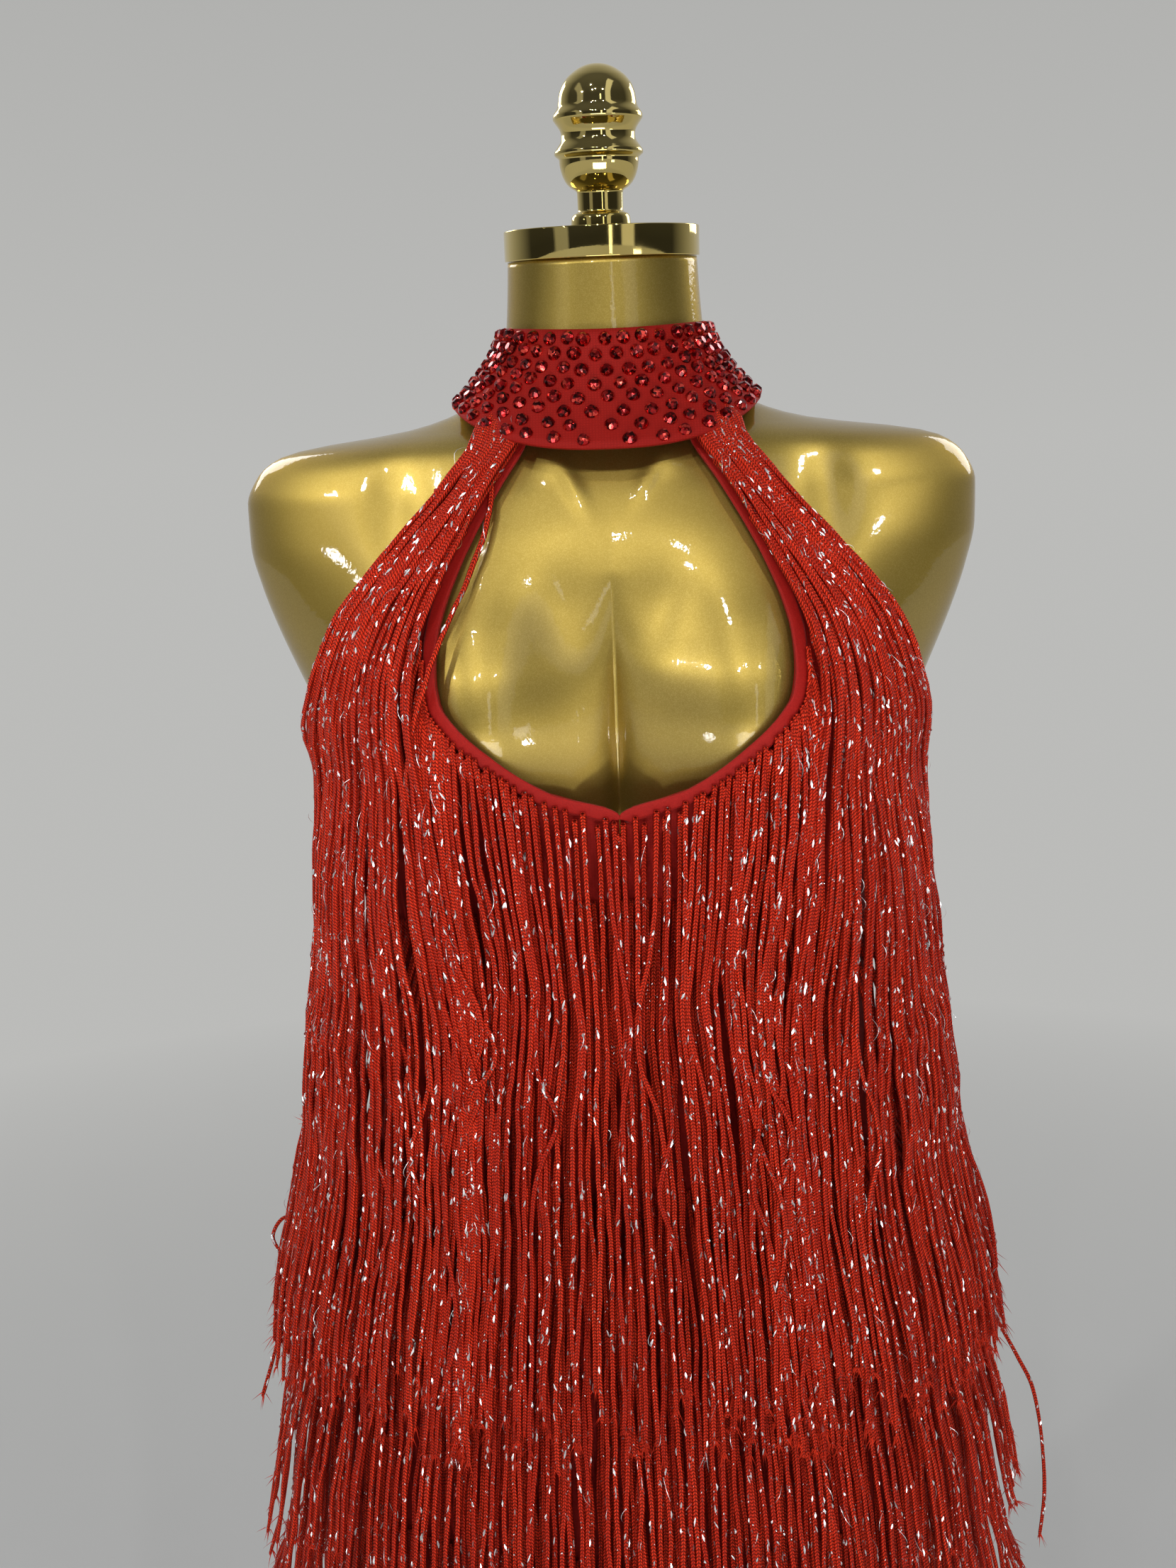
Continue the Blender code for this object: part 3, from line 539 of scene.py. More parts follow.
# share of the height below the top, radius
FINIAL_SHAPE = (
    (0.000, 0.0000), (0.004, 0.0036), (0.020, 0.0080), (0.050, 0.0123),
    (0.089, 0.0160), (0.138, 0.0188), (0.187, 0.0202), (0.235, 0.0208),
    (0.252, 0.0210), (0.262, 0.0213), (0.300, 0.0233), (0.312, 0.0237),
    (0.332, 0.0237), (0.342, 0.0232), (0.400, 0.0201), (0.425, 0.0196),
    (0.452, 0.0198), (0.515, 0.0229), (0.530, 0.0236), (0.545, 0.0236),
    (0.556, 0.0228), (0.574, 0.0212), (0.600, 0.0211), (0.654, 0.0202),
    (0.710, 0.0182), (0.750, 0.0152), (0.768, 0.0128), (0.780, 0.0123),
    (0.890, 0.0122), (0.900, 0.0126), (0.912, 0.0146), (0.935, 0.0157),
    (0.985, 0.0161), (1.000, 0.0160),
)
disc_upper = arc((DISC_RADIUS - RIM, DISC_THICK - RIM), RIM, 90, 0)
disc_lower = arc((DISC_RADIUS - RIM, RIM), RIM, 0, -90)
disc = [(0, DISC_THICK), *disc_upper, *disc_lower, (0, 0)]
foot = NECK_TOP + GAP
neck_disc = turned("neck_plate", disc, polished, 96, (0, 0, foot), NECK_LEAN)
share = np.concatenate([0.06 * np.linspace(0, 1, 10) ** 2, np.linspace(0.066, 1, 150)])
radius = curve_through([row[0] for row in FINIAL_SHAPE], [row[1] for row in FINIAL_SHAPE], share)
knob_profile = list(zip(radius, FINIAL_TALL * (1 - share))) + [(0, 0)]
lift = DISC_THICK + GAP
place = (0, -math.sin(NECK_LEAN) * lift, foot + math.cos(NECK_LEAN) * lift)
knob = turned("knob", knob_profile, polished, 64, place, NECK_LEAN)
stands_for("neck_disc")
stands_for("finial")
print("knob:", triangles(knob), "triangles, disc:", triangles(neck_disc))

# %% [markdown]
# ## The stand
#
# The photograph ends above the stand. A form like this one stands on a steel pole in a round weighted
# base, so that is what carries it here, finished plainly in the same gold and brushed metal.

# %% Pole, flange and base
FLANGE_RADIUS = 0.034
FLANGE_THICK = 0.016
POLE_RADIUS = 0.0125
BASE_RADIUS = 0.200
BASE_THICK = 0.009
BOSS_RADIUS = 0.030
BOSS_TOP = 0.042
STEEL_EDGE = 0.001  # radius of a rounded edge
BOSS_EDGE = 0.002
BASE_EDGE = 0.004
steel, shader = finish_of("brushed steel", (0.42, 0.42, 0.43), 0.34, 1.0)
where = node(steel, "TexCoord").outputs["Object"]
brushed = node(steel, "Mapping", {"Vector": where, "Scale": (60, 60, 2500)})
grain = noise(steel, 1.0, 3.0, brushed.outputs[0])
join(steel, stretch(steel, grain, 0.3, 0.7, 0.26, 0.44), shader, "Roughness")
emboss(steel, shader, grain, 0.00002, strength=0.4)
flange_top = FORM_BOTTOM - GAP
flange_low = flange_top - FLANGE_THICK
flange_edge = FLANGE_RADIUS - STEEL_EDGE
flange_profile = [
    (0, flange_top),
    *arc((flange_edge, flange_top - STEEL_EDGE), STEEL_EDGE, 90, 0, 3),
    *arc((flange_edge, flange_top - 4 * STEEL_EDGE), STEEL_EDGE, 0, -60, 3),
    (POLE_RADIUS * 1.5, flange_low),
    (0, flange_low),
]
flange = turned("pole_flange", flange_profile, steel, 64)
pole_profile = [(0, flange_low - GAP), (POLE_RADIUS, flange_low - GAP)]
pole_profile += [(POLE_RADIUS, BOSS_TOP + GAP), (0, BOSS_TOP + GAP)]
pole = turned("pole", pole_profile, polished, 48)
# the boss's foot runs out into the base: distance past the boss, height over the base
BOSS_FOOT = ((-0.002, 0.014), (0.004, 0.005), (0.010, 0.002))
base_profile = [
    (0, BOSS_TOP),
    *arc((POLE_RADIUS * 1.4, BOSS_TOP - BOSS_EDGE), BOSS_EDGE, 90, 20, 4),
    *[(BOSS_RADIUS + past, BASE_THICK + over) for past, over in BOSS_FOOT],
    (BASE_RADIUS - 0.012, BASE_THICK),
    *arc((BASE_RADIUS - BASE_EDGE, BASE_THICK - 0.005), BASE_EDGE, 90, 0, 8),
    (BASE_RADIUS, 0),
    (0, 0),
]
stand_foot = turned("stand_foot", base_profile, gold_paint, 128)
LEVEL = 0.98  # a face whose normal points up this much is level, and stays flat
for piece, cad_node, slot in (
    (flange, "form_flange", "steel"),
    (pole, "stand_pole", "polished_gold"),
    (stand_foot, "stand_base", "form_paint"),
):
    stands_for(cad_node)
    for face in piece.data.polygons:
        face.use_smooth = abs(face.normal.z) < LEVEL
print("stand: base", 2 * BASE_RADIUS, "m wide, pole", round(flange_low - BOSS_TOP, 3), "m long")

# %% [markdown]
# ## The dress's cloth
#
# Under the fringe is a slip of red stretch jersey, with two fronts that narrow into the straps, a back,
# and a folded binding along every cut edge. Each panel is a grid between its own two edges. A cloth
# simulation would only stretch it back over the same form, so it is laid there directly, with a
# little unevenness where cloth never lies quite still.

# %% Red jersey
RED_CLOTH = (0.33, 0.008, 0.004)
CLOTH_GLOSS = {"Sheen_Weight": 0.05, "Specular_IOR_Level": 0.18}
jersey, shader = finish_of("red jersey", RED_CLOTH, 0.68, **CLOTH_GLOSS)
shader.inputs["Sheen Tint"].default_value = (1, 0.2, 0.15, 1)
where = node(jersey, "TexCoord").outputs["Object"]
ribs = {"Vector": where, "Scale": 210.0, "Distortion": 1.0, "Detail": 1.0}
ribs = node(jersey, "TexWave", ribs, bands_direction="X").outputs["Fac"]
courses = {"Vector": where, "Scale": 260.0, "Distortion": 0.6}
courses = node(jersey, "TexWave", courses, bands_direction="Z").outputs["Fac"]
knit = maths(jersey, "MULTIPLY", ribs, courses)
shade = patchy(jersey, noise(jersey, 30.0, 3.0), RED_CLOTH, (0.39, 0.011, 0.006))
# the colour is darker in the knit's grooves, where its relief is low: painted shade
join(jersey, between(jersey, knit, (0.29, 0.006, 0.003), shade), shader, "Base Color")
emboss(jersey, shader, knit, 0.00012, strength=0.6)
print("jersey ready")

# %% Edges of the fronts
HEM = 0.70
SIDE_TOP = 1.190
BACK_TOP = 1.085
CLOTH = 0.0016
SEAM_SHARE = 0.0005  # half a seam's gap, as a share of the way from front centre to back centre
# The keyhole's edge and the armhole's edge, row by row down to the end of the keyhole:
# inner x, inner height, outer x, outer height. An outer x of 0 stands for the side seam.
STRAP_ROWS = (
    (0.0330, 1.3960, 0.0520, 1.3900),
    (0.0342, 1.3860, 0.0555, 1.3795),
    (0.0360, 1.3760, 0.0590, 1.3690),
    (0.0388, 1.3635, 0.0630, 1.3585),
    (0.0420, 1.3520, 0.0680, 1.3480),
    (0.0530, 1.3350, 0.0820, 1.3280),
    (0.0660, 1.3125, 0.1010, 1.3060),
    (0.0755, 1.2930, 0.1190, 1.2850),
    (0.0825, 1.2740, 0.1360, 1.2630),
    (0.0855, 1.2590, 0.1450, 1.2440),
    (0.0860, 1.2450, 0.1515, 1.2280),
    (0.0840, 1.2320, 0.1560, 1.2140),
    (0.0760, 1.2200, 0.1595, 1.2020),
    (0.0580, 1.2035, 0.0000, SIDE_TOP),
    (0.0340, 1.1880, 0.0000, 1.1760),
    (0.0000, 1.1745, 0.0000, 1.1620),
)
SKIRT_HEIGHTS = (1.135, 1.100, 1.070, 1.040, 1.010, 0.975, 0.935, 0.890, 0.840, 0.795, 0.750, HEM)
BUST_ROW = 10.0  # the row where the cords leave the strap and hang
SIDE_ROW = 13.0
KEYHOLE_ROW = 15.0


def across_at(x, height):
    """The across value of the front point with this x."""
    shares = SKIN_SHARES[SKIN_SHARES <= 0.5]
    return float(np.interp(x, skin_point(shares, height)[:, 0], shares))


side = 0.5 - SEAM_SHARE
inner = [(max(across_at(x, z), SEAM_SHARE), z) for x, z, _, _ in STRAP_ROWS]
INNER_EDGE = np.array(inner + [(SEAM_SHARE, z) for z in SKIRT_HEIGHTS])
outer = [(across_at(x, z) if x else side, z) for _, _, x, z in STRAP_ROWS]
OUTER_EDGE = np.array(outer + [(side, z) for z in SKIRT_HEIGHTS])
LAST_ROW = len(INNER_EDGE) - 1


def front_place(share, row):
    """across and height on the right front: share 0 is its inner edge, 1 its outer edge."""
    rows = np.arange(LAST_ROW + 1)
    near = [curve_through(rows, INNER_EDGE[:, i], row) for i in (0, 1)]
    far = [curve_through(rows, OUTER_EDGE[:, i], row) for i in (0, 1)]
    return near[0] + (far[0] - near[0]) * share, near[1] + (far[1] - near[1]) * share


def back_edge(across):
    """Height of the back's top edge. across runs from 0.5 over 1 to 1.5."""
    dip = np.abs(np.cos((across - 1) * math.pi)) ** 1.3
    return SIDE_TOP - (SIDE_TOP - BACK_TOP) * dip


print("rows down a front:", LAST_ROW + 1)


def mirrored(points):
    """The same points on the other side of the dress."""
    return points * np.array([-1, 1, 1])


def declare(cad_node):
    """Hides the CAD node that a piece of cloth takes the place of."""
    stands_for(cad_node)


def cloth_at(across, height):
    """The slip's inner face, with a slight unrest where the cloth doesn't lie quite still."""
    unrest = 0.0004 * np.sin(150 * height + 9 * across) * np.sin(40 * across)
    return skin(across, height, ease(height) + unrest)[0]


share, row = np.meshgrid(np.linspace(0, 1, 37), np.linspace(0, LAST_ROW, 3 * LAST_ROW + 1))
front = cloth_at(*front_place(share, row))
front_right_piece = panel("slip_front_right", front, CLOTH, jersey)
front_left_piece = panel("slip_front_left", mirrored(front), CLOTH, jersey)
edges = np.linspace(0.5 + SEAM_SHARE, 1.5 - SEAM_SHARE, 73)
across, drop = np.meshgrid(edges, np.linspace(0, 1, 40))
back = cloth_at(across, back_edge(across) + (HEM - back_edge(across)) * drop)
back_piece = panel("slip_back", back, CLOTH, jersey)
for piece, points, cad_node in (
    (front_right_piece, front, "front_right"),
    (front_left_piece, front, "front_left"),
    (back_piece, back, "back"),
):
    declare(cad_node)

# %% [markdown]
# ## Bindings
#
# A strip of the same jersey is folded over each cut edge and shows as a plain, smooth red rim. It is a
# narrow band that runs along the edge, crowned in its middle so that it catches the light as a folded
# edge does.

# %% Folded bindings
BINDING = 0.0012
BINDING_GAP = 0.0011
BINDING_WIDE = 0.007
BINDING_OVER = 0.001  # how far it stands over the cloth's edge
BINDING_CROWN = 0.0002
trim, shader = finish_of("red binding", (0.36, 0.008, 0.005), 0.6, **CLOTH_GLOSS)
fine = noise(trim, 1400.0, 2.0)
tone = patchy(trim, fine, (0.31, 0.006, 0.004), (0.41, 0.010, 0.006))
join(trim, tone, shader, "Base Color")
emboss(trim, shader, fine, 0.0001, strength=0.6)


def band(across, height, inwards):
    """A folded binding's inner face. inwards is 1 where the cloth is on the left of the edge's run."""
    points, normal = skin(across, height, ease(height) + CLOTH + BINDING_GAP)
    along = np.gradient(points, axis=0)
    inward = unit(np.cross(normal, along) * inwards)
    wide = np.linspace(0, 1, 7)[:, None, None]
    offsets = -BINDING_OVER + BINDING_WIDE * wide
    rise = normal[None] * BINDING_CROWN * np.sin(math.pi * wide) ** 0.7
    return points[None] + inward[None] * offsets + rise


row = np.append(np.linspace(1, KEYHOLE_ROW - 0.05, 140), KEYHOLE_ROW - 0.02)
keyhole_band = band(*front_place(0.0, row), 1)
armhole_band = band(*front_place(1.0, np.linspace(1, SIDE_ROW - 0.1, 90)), -1)
across = np.linspace(0.512, 1.488, 120)
back_band = band(across, back_edge(across), -1)
bindings = {
    "keyhole_binding_right": keyhole_band,
    "keyhole_binding_left": mirrored(keyhole_band),
    "armhole_binding_right": armhole_band,
    "armhole_binding_left": mirrored(armhole_band),
    "back_binding": back_band,
}
for name, points in bindings.items():
    piece = panel("trim_" + name, points, BINDING, trim)
    declare(name)

# %% [markdown]
# ## The collar
#
# The halter collar is a stiffened band that flares from the neck to the shoulders, dips lower in
# front, and closes at the back with a tab and two covered buttons. Its shape is a formula, with one
# point for every turn round the neck and every level from the collar's top to its lower edge.

# %% Collar, tab and buttons
COLLAR_WALL = 0.0018
OPENING = 0.006
# of the collar's top and of its lower edge: half width, depth in front and behind, height at the
# sides, and how much lower it lies in front and behind
COLLAR_TOP = (0.0545, 0.0560, 0.0565, 1.4165, 0.0055, 0.0)
COLLAR_EDGE = (0.0820, 0.0905, 0.0800, 1.3760, 0.0250, 0.0045)
COLLAR_BEND = 1.6


def collar_rim(rim, front):
    """Half width, depth and height of a rim. front is 1 at the front, 0 at the side, -1 behind."""
    half, ahead, behind, height, dip_ahead, dip_behind = rim
    dip = dip_ahead * np.clip(front, 0, 1) ** COLLAR_BEND
    dip = dip + dip_behind * np.clip(-front, 0, 1) ** COLLAR_BEND
    return half, np.where(front > 0, ahead, behind), height - dip


def collar_point(turn, level):
    """The collar's inner face. turn is the angle from the front, level 0 its top, 1 its lower edge."""
    front, side = np.cos(turn), np.sin(turn)
    top_x, top_y, top_z = collar_rim(COLLAR_TOP, front)
    low_x, low_y, low_z = collar_rim(COLLAR_EDGE, front)
    flare = np.clip(level, 0, None) ** COLLAR_BEND
    square = 1 - 0.2 * level
    x = np.sign(side) * np.abs(side) ** square * (top_x + (low_x - top_x) * flare)
    y = -np.sign(front) * np.abs(front) ** square * (top_y + (low_y - top_y) * flare)
    return np.stack([x, y, top_z + (low_z - top_z) * level], -1)


def collar_outside(turn, level, out):
    """Points that lie out from the collar's inner face, and the outward direction there."""
    step = 0.01
    around = collar_point(turn + step, level) - collar_point(turn - step, level)
    upwards = collar_point(turn, level - step) - collar_point(turn, level + step)
    normal = unit(np.cross(around, upwards))
    return collar_point(turn, level) + normal * np.asarray(out)[..., None], normal


around = np.linspace(-math.pi + OPENING, math.pi - OPENING, 145)
turn, level = np.meshgrid(around, np.linspace(0.001, 1, 17))
collar_cloth = collar_point(turn, level)
collar_piece = panel("halter_collar", collar_cloth, COLLAR_WALL, jersey)
declare("collar")
TAB_TURN = 0.17  # half the tab's width, as an angle
TAB_LEVELS = (0.12, 0.86)
BUTTON_TURN = 0.08
BUTTON_LEVELS = (0.30, 0.68)
tab_out = COLLAR_WALL + 2 * GAP
around = np.linspace(math.pi - TAB_TURN, math.pi + TAB_TURN, 13)
turn, level = np.meshgrid(around, np.linspace(*TAB_LEVELS, 17))
tab_cloth = collar_outside(turn, level, np.full(turn.shape, tab_out))[0]
tab_piece = panel("closing_tab", tab_cloth, BINDING, trim)
declare("collar_tab")
for number, level in enumerate(BUTTON_LEVELS, 1):
    turn = np.array(math.pi - BUTTON_TURN)
    spot, normal = collar_outside(turn, np.array(level), tab_out + BINDING + 2 * GAP)
    dome = [(0, 0.0030)] + arc((0, -0.0024), 0.0054, 78, 28, 7) + [(0.0053, -0.0001), (0, -0.0001)]
    button = turned(f"covered_button_{number}", dome, trim, 32)
    facing = Vector(normal).to_track_quat("Z", "Y").to_matrix().to_4x4()
    button.matrix_world = Matrix.Translation(spot) @ facing
    stands_for(f"collar_button_{number}")

# %% [markdown]
# ## The cords
#
# The fringe is about 1,350 crocheted cords, sewn on in rows: over the straps, along the keyhole, along
# the back's edge, and in four tiers round the body. Hair curves would be quick, but they carry no real
# thickness into another program. Each cord is instead a thin tube along its own path: it leaves its
# tape, eases out to its layer and hangs, and it wanders a little, because no two cords hang alike. The
# layers of the CAD model say how far out each row hangs.

# %% Layers of fringe
# height, then how far each row's cords hang outside the cloth there
LAYERS = (
    (0.580, 0.090, 0.080, 0.070, 0.050, 0.028),
    (0.645, 0.086, 0.076, 0.067, 0.046, 0.024),
    (0.700, 0.075, 0.062, 0.047, 0.030, 0.013),
    (0.730, 0.060, 0.049, 0.036, 0.022, 0.008),
    (0.780, 0.046, 0.036, 0.025, 0.013, 0.003),
    (0.830, 0.035, 0.025, 0.015, 0.006, 0.002),
    (0.880, 0.034, 0.024, 0.014, 0.005, 0.002),
    (0.930, 0.035, 0.023, 0.0115, 0.004, 0.002),
    (0.980, 0.042, 0.029, 0.015, 0.004, 0.002),
    (1.030, 0.043, 0.031, 0.015, 0.004, 0.002),
    (1.090, 0.033, 0.022, 0.010, 0.004, 0.002),
    (1.130, 0.025, 0.014, 0.005, 0.004, 0.002),
    (1.165, 0.014, 0.005, 0.004, 0.004, 0.002),
    (1.200, 0.0065, 0.004, 0.004, 0.004, 0.002),
    (1.300, 0.0065, 0.004, 0.004, 0.004, 0.002),
    (1.400, 0.0050, 0.004, 0.004, 0.004, 0.002),
)
TOP_LAYER, BUST_LAYER, WAIST_LAYER, HIP_LAYER, HEM_LAYER = 1, 2, 3, 4, 5
LAYER_EASING = 0.045  # below its tape a cord takes this much to reach its layer
AT_ROOT = 0.0022  # how far outside the cloth a cord's middle is where it is sewn on
CORD_WIDE = 0.0029
CORD_DEEP = 0.0024
STITCH = 0.0018
HALF_ROUND = 0.46  # metres from the front centre to the back centre, for turning metres into across
SWING = 0.0008  # metres that a cord swings from side to side
SWING_LENGTHS = (0.07, 0.30)
KINK_LENGTHS = (0.022, 0.05)
CALM = 0.06  # below its root a cord takes this much to swing freely
# size and width of the loose groups that neighbouring cords draw together into
GROUPS = ((0.0011, 0.029), (0.0012, 0.0125))


def layer_lift(height, layer, root):
    """How far outside the cloth the middle of a cord hangs, easing out from its tape at root."""
    settled = column(LAYERS, height, layer)
    fall = np.clip((root - height) / LAYER_EASING, 0, 1)
    fall = fall * fall * (3 - 2 * fall)
    return AT_ROOT + (settled - AT_ROOT) * fall


def wander(down, size):
    """A cord's own slow swings, in metres, growing from nothing at its root."""
    waves, starts = chance.uniform(*SWING_LENGTHS, 3), chance.uniform(0, 2 * math.pi, 3)
    sizes = chance.uniform(0.2, 1.0, 3) * size
    swings = (sizes * np.sin(2 * math.pi * down[:, None] / waves + starts)).sum(1)
    kinks = 0.3 * size * np.sin(2 * math.pi * down / chance.uniform(*KINK_LENGTHS) + starts[0])
    return (swings + kinks) * np.clip(down / CALM, 0, 1)


def gather(across, height, layer):
    """Neighbouring cords draw together into loose groups, in metres."""
    place = 2 * math.pi * across * HALF_ROUND
    slow = 1.5 * np.sin(5 * height + layer) + 1.7 * layer
    (loose, broad), (tight, narrow) = GROUPS
    return loose * np.sin(place / broad + slow) + tight * np.sin(place / narrow - slow)


print("layers:", len(LAYERS[0]) - 1)


# %% A bundle of cords
SIDES = 6  # of a cord's tube
HAIRS = 6  # fibres at a cord's frayed end, each a thin cone on three feet
CORD_END = 0.72  # width of a cord's last ring, as a share of the others


def way_along(path):
    """Metres along a path, from its start to each of its points."""
    return np.concatenate([[0], np.cumsum(np.linalg.norm(np.diff(path, axis=0), axis=1))])


class Bundle:
    """Collects cords as tubes, to be joined into one mesh with its maps."""

    def __init__(self):
        self.points, self.tubes, self.tips = [], [], []
        self.around, self.strip, self.tone = [], [], []
        self.count = self.cords = 0

    def add(self, path, outward, tone, size=1.0):
        """A tube along the path, closed at its lower end, with frayed fibres there."""
        wide, deep = CORD_WIDE * size, CORD_DEEP * size
        along = unit(np.gradient(path, axis=0))
        aside = unit(np.cross(along, outward))
        outward = np.cross(aside, along)
        length = way_along(path)
        turn = (np.arange(SIDES) * 2 * math.pi / SIDES)[:, None]
        lumps = 1 + 0.07 * np.sin(length / 0.013 + 40 * tone)[:, None, None]
        ends = np.ones(len(path))
        ends[-1] = CORD_END
        ring = aside[:, None] * np.cos(turn) * wide / 2 + outward[:, None] * np.sin(turn) * deep / 2
        points = path[:, None] + ring * lumps * ends[:, None, None]
        tip = self.count + len(path) * SIDES
        last = tip - SIDES + np.arange(SIDES)
        self.points += [points.reshape(-1, 3), path[-1:] + along[-1] * deep * 0.5]
        self.tubes.append(grid_faces(len(path), SIDES, wrap=True) + self.count)
        self.tips.append(np.stack([np.full(SIDES, tip), np.roll(last, -1), last], -1))
        self.fray(path[-1], along[-1], aside[-1], outward[-1], wide, tip + 1)
        edges = np.arange(SIDES)
        left, right = edges / SIDES, (edges + 1) / SIDES
        first, second = length[:-1, None], length[1:, None]
        cells = [(left, first), (left, second), (right, second), (right, first)]
        maps = np.stack([np.stack(np.broadcast_arrays(u, v), -1) for u, v in cells], 2)
        self.around.append(maps.reshape(-1, 2))
        self.strip.append(np.full(maps.size // 2, self.cords))
        self.tone.append(np.full(len(path) * SIDES + 1 + 4 * HAIRS, tone))
        self.count = tip + 1 + 4 * HAIRS
        self.cords += 1

    def fray(self, end, along, aside, outward, wide, start):
        """Fibres that spread from a cord's end. start is the number of their first point."""
        spread = chance.normal(0, 0.42, (HAIRS, 2))
        sideways = spread[:, :1] * aside + spread[:, 1:] * outward
        roots = end - along * 0.002 + sideways * wide * 0.6
        away = along + spread[:, :1] * aside + spread[:, 1:] * outward
        peaks = roots + unit(away) * chance.uniform(0.006, 0.012, (HAIRS, 1))
        corners = (2 * math.pi * np.arange(3) / 3)[:, None]
        feet = roots[:, None] + (aside * np.cos(corners) + outward * np.sin(corners)) * 0.0004
        self.points += [feet.reshape(-1, 3), peaks]
        first = start + 3 * np.arange(HAIRS)[:, None]
        peak = np.repeat(start + 3 * HAIRS + np.arange(HAIRS)[:, None], 3, axis=1)
        around = np.arange(3)
        sides = np.stack([first + around, first + (around + 1) % 3, peak], -1)
        self.tips.append(sides.reshape(-1, 3))

    def make(self, name, material):
        """One mesh of all the cords, with a map in metres, a map for baking, and each cord's tone."""
        faces = [np.concatenate(self.tubes), np.concatenate(self.tips)]
        obj = mesh_from(name, np.concatenate(self.points), faces, material)
        mesh = obj.data
        tube_map = np.concatenate(self.around)
        strips = np.concatenate(self.strip)
        rest = len(mesh.loops) - len(tube_map)
        cord_map = np.concatenate([tube_map, np.full((rest, 2), (0.125, 0.3 * STITCH))])
        mesh.uv_layers.new(name="cord").uv.foreach_set("vector", cord_map.astype(np.float32).ravel())
        u = (strips + 0.1 + 0.8 * tube_map[:, 0]) / self.cords
        v = tube_map[:, 1] / tube_map[:, 1].max()
        atlas = np.concatenate([np.stack([u, v], -1), np.zeros((rest, 2))])
        mesh.uv_layers.new(name="OFBake").uv.foreach_set("vector", atlas.astype(np.float32).ravel())
        tones = mesh.attributes.new("tone", "FLOAT", "POINT")
        tones.data.foreach_set("value", np.concatenate(self.tone).astype(np.float32))
        return obj


print("bundle ready")

# %% [markdown]
# ### The finish of the cords
#
# Close by, a cord is a chain of small stitches, like a row of V shapes. At under three millimetres
# wide, with stitches under two, modelling every loop would take tens of millions of faces. The V
# pattern is worked out from the cord's own map instead, from the place round it and the metres along
# it, and drives both the relief and the colour: orange red on the loops, and deep red between them
# as painted shade in the grooves.

# %% Crocheted cord
yarn, shader = finish_of("crocheted cord", (0.60, 0.03, 0.012), 0.5, Specular_IOR_Level=0.16)
place_on_cord = node(yarn, "SeparateXYZ", {0: node(yarn, "UVMap", uv_map="cord").outputs[0]})
round_cord, along_cord = place_on_cord.outputs[0], place_on_cord.outputs[1]


def yarn_sum(first, second):
    return maths(yarn, "ADD", first, second)


def yarn_times(first, second):
    return maths(yarn, "MULTIPLY", first, second)


from_middle = maths(yarn, "PINGPONG", yarn_times(round_cord, 4.0), 1.0)
leaning = yarn_sum(maths(yarn, "DIVIDE", along_cord, STITCH), yarn_times(from_middle, 0.85))
loop = maths(yarn, "SINE", yarn_times(maths(yarn, "FRACT", leaning), math.pi))
seam = maths(yarn, "SINE", yarn_times(from_middle, math.pi))
round_loop = maths(yarn, "POWER", loop, 0.7)
relief = yarn_times(round_loop, maths(yarn, "POWER", yarn_sum(seam, 0.08), 0.45))
fibre = noise(yarn, 2600.0, 2.0)
tone = node(yarn, "Attribute", attribute_name="tone").outputs["Fac"]
# the deep red between the loops is painted shade in the grooves of the chain; the orange red on the loops
# is the yarn's own colour
PAINTED_SHADE_BETWEEN_LOOPS, ON_LOOPS = (0.10, 0.0010, 0.0006), (1.0, 0.046, 0.013)
FIBRE_TINT, DEEP_TINT = (1.0, 0.085, 0.024), (0.30, 0.003, 0.0015)
loops_and_painted_shade = patchy(yarn, relief, PAINTED_SHADE_BETWEEN_LOOPS, ON_LOOPS, 0.30, 0.90)
fuzzy = between(yarn, stretch(yarn, fibre, 0.40, 0.75, 0, 0.4), loops_and_painted_shade, FIBRE_TINT)
deeper = between(yarn, stretch(yarn, tone, 0.6, 1.0, 0.45, 0.0), fuzzy, DEEP_TINT)
# specks of the silver thread between the loops: cells of a map that differs from cord to cord
cell_u = yarn_sum(yarn_times(round_cord, 7.0), yarn_times(tone, 971.0))
cells = node(yarn, "CombineXYZ", {0: cell_u, 1: yarn_times(along_cord, 620.0)}).outputs[0]
speck_cells = node(yarn, "TexVoronoi", {"Vector": cells, "Scale": 1.0}, voronoi_dimensions="2D")
drawn = node(yarn, "SeparateColor", {0: speck_cells.outputs["Color"]}).outputs[0]
near_middle = maths(yarn, "LESS_THAN", speck_cells.outputs["Distance"], 0.34)
speck = yarn_times(maths(yarn, "GREATER_THAN", drawn, 0.962), near_middle)
join(yarn, between(yarn, speck, deeper, (0.92, 0.90, 0.92)), shader, "Base Color")
join(yarn, speck, shader, "Metallic")
join(yarn, stretch(yarn, speck, 0, 1, 0.5, 0.22), shader, "Roughness")
emboss(yarn, shader, yarn_sum(relief, yarn_times(fibre, 0.25)), 0.0007)
print("cord finish:", len(yarn.node_tree.nodes), "nodes")

# %% [markdown]
# ### Rows of fringe
#
# Each row says where its cords start, which layer they hang in and where they end. It also says below
# which height its cords show, so that no silver thread is made under the row above.

# %% Hanging cords
STEP = 0.008  # metres between the rings of a cord
TOP_END = 0.845  # height where the cords of the top layer end, give or take END_PLAY
END_PLAY = 0.022
LEAST_LIFT = 0.0016  # no cord lies closer to the cloth
STRAYS = 0.09  # share of the cords that stray
STRAY_HEIGHTS = (0.86, 1.12)
STRAY_LENGTHS = (0.02, 0.05)
STRAY_ASIDE = (0.006, 0.014)
STRAY_OUT = 0.0035
ALL = 2.0  # a height over the whole dress, for cords that show all along
trails = []  # each cord's path, its outward direction and the height below which it shows


def hang_cord(bundle, across, height, lift, tone, shows=ALL):
    """Adds one cord that follows the given places on the skin."""
    path, outward = skin(across, height, ease(height) + CLOTH + lift)
    bundle.add(path, outward, tone)
    trails.append((path, outward, shows))


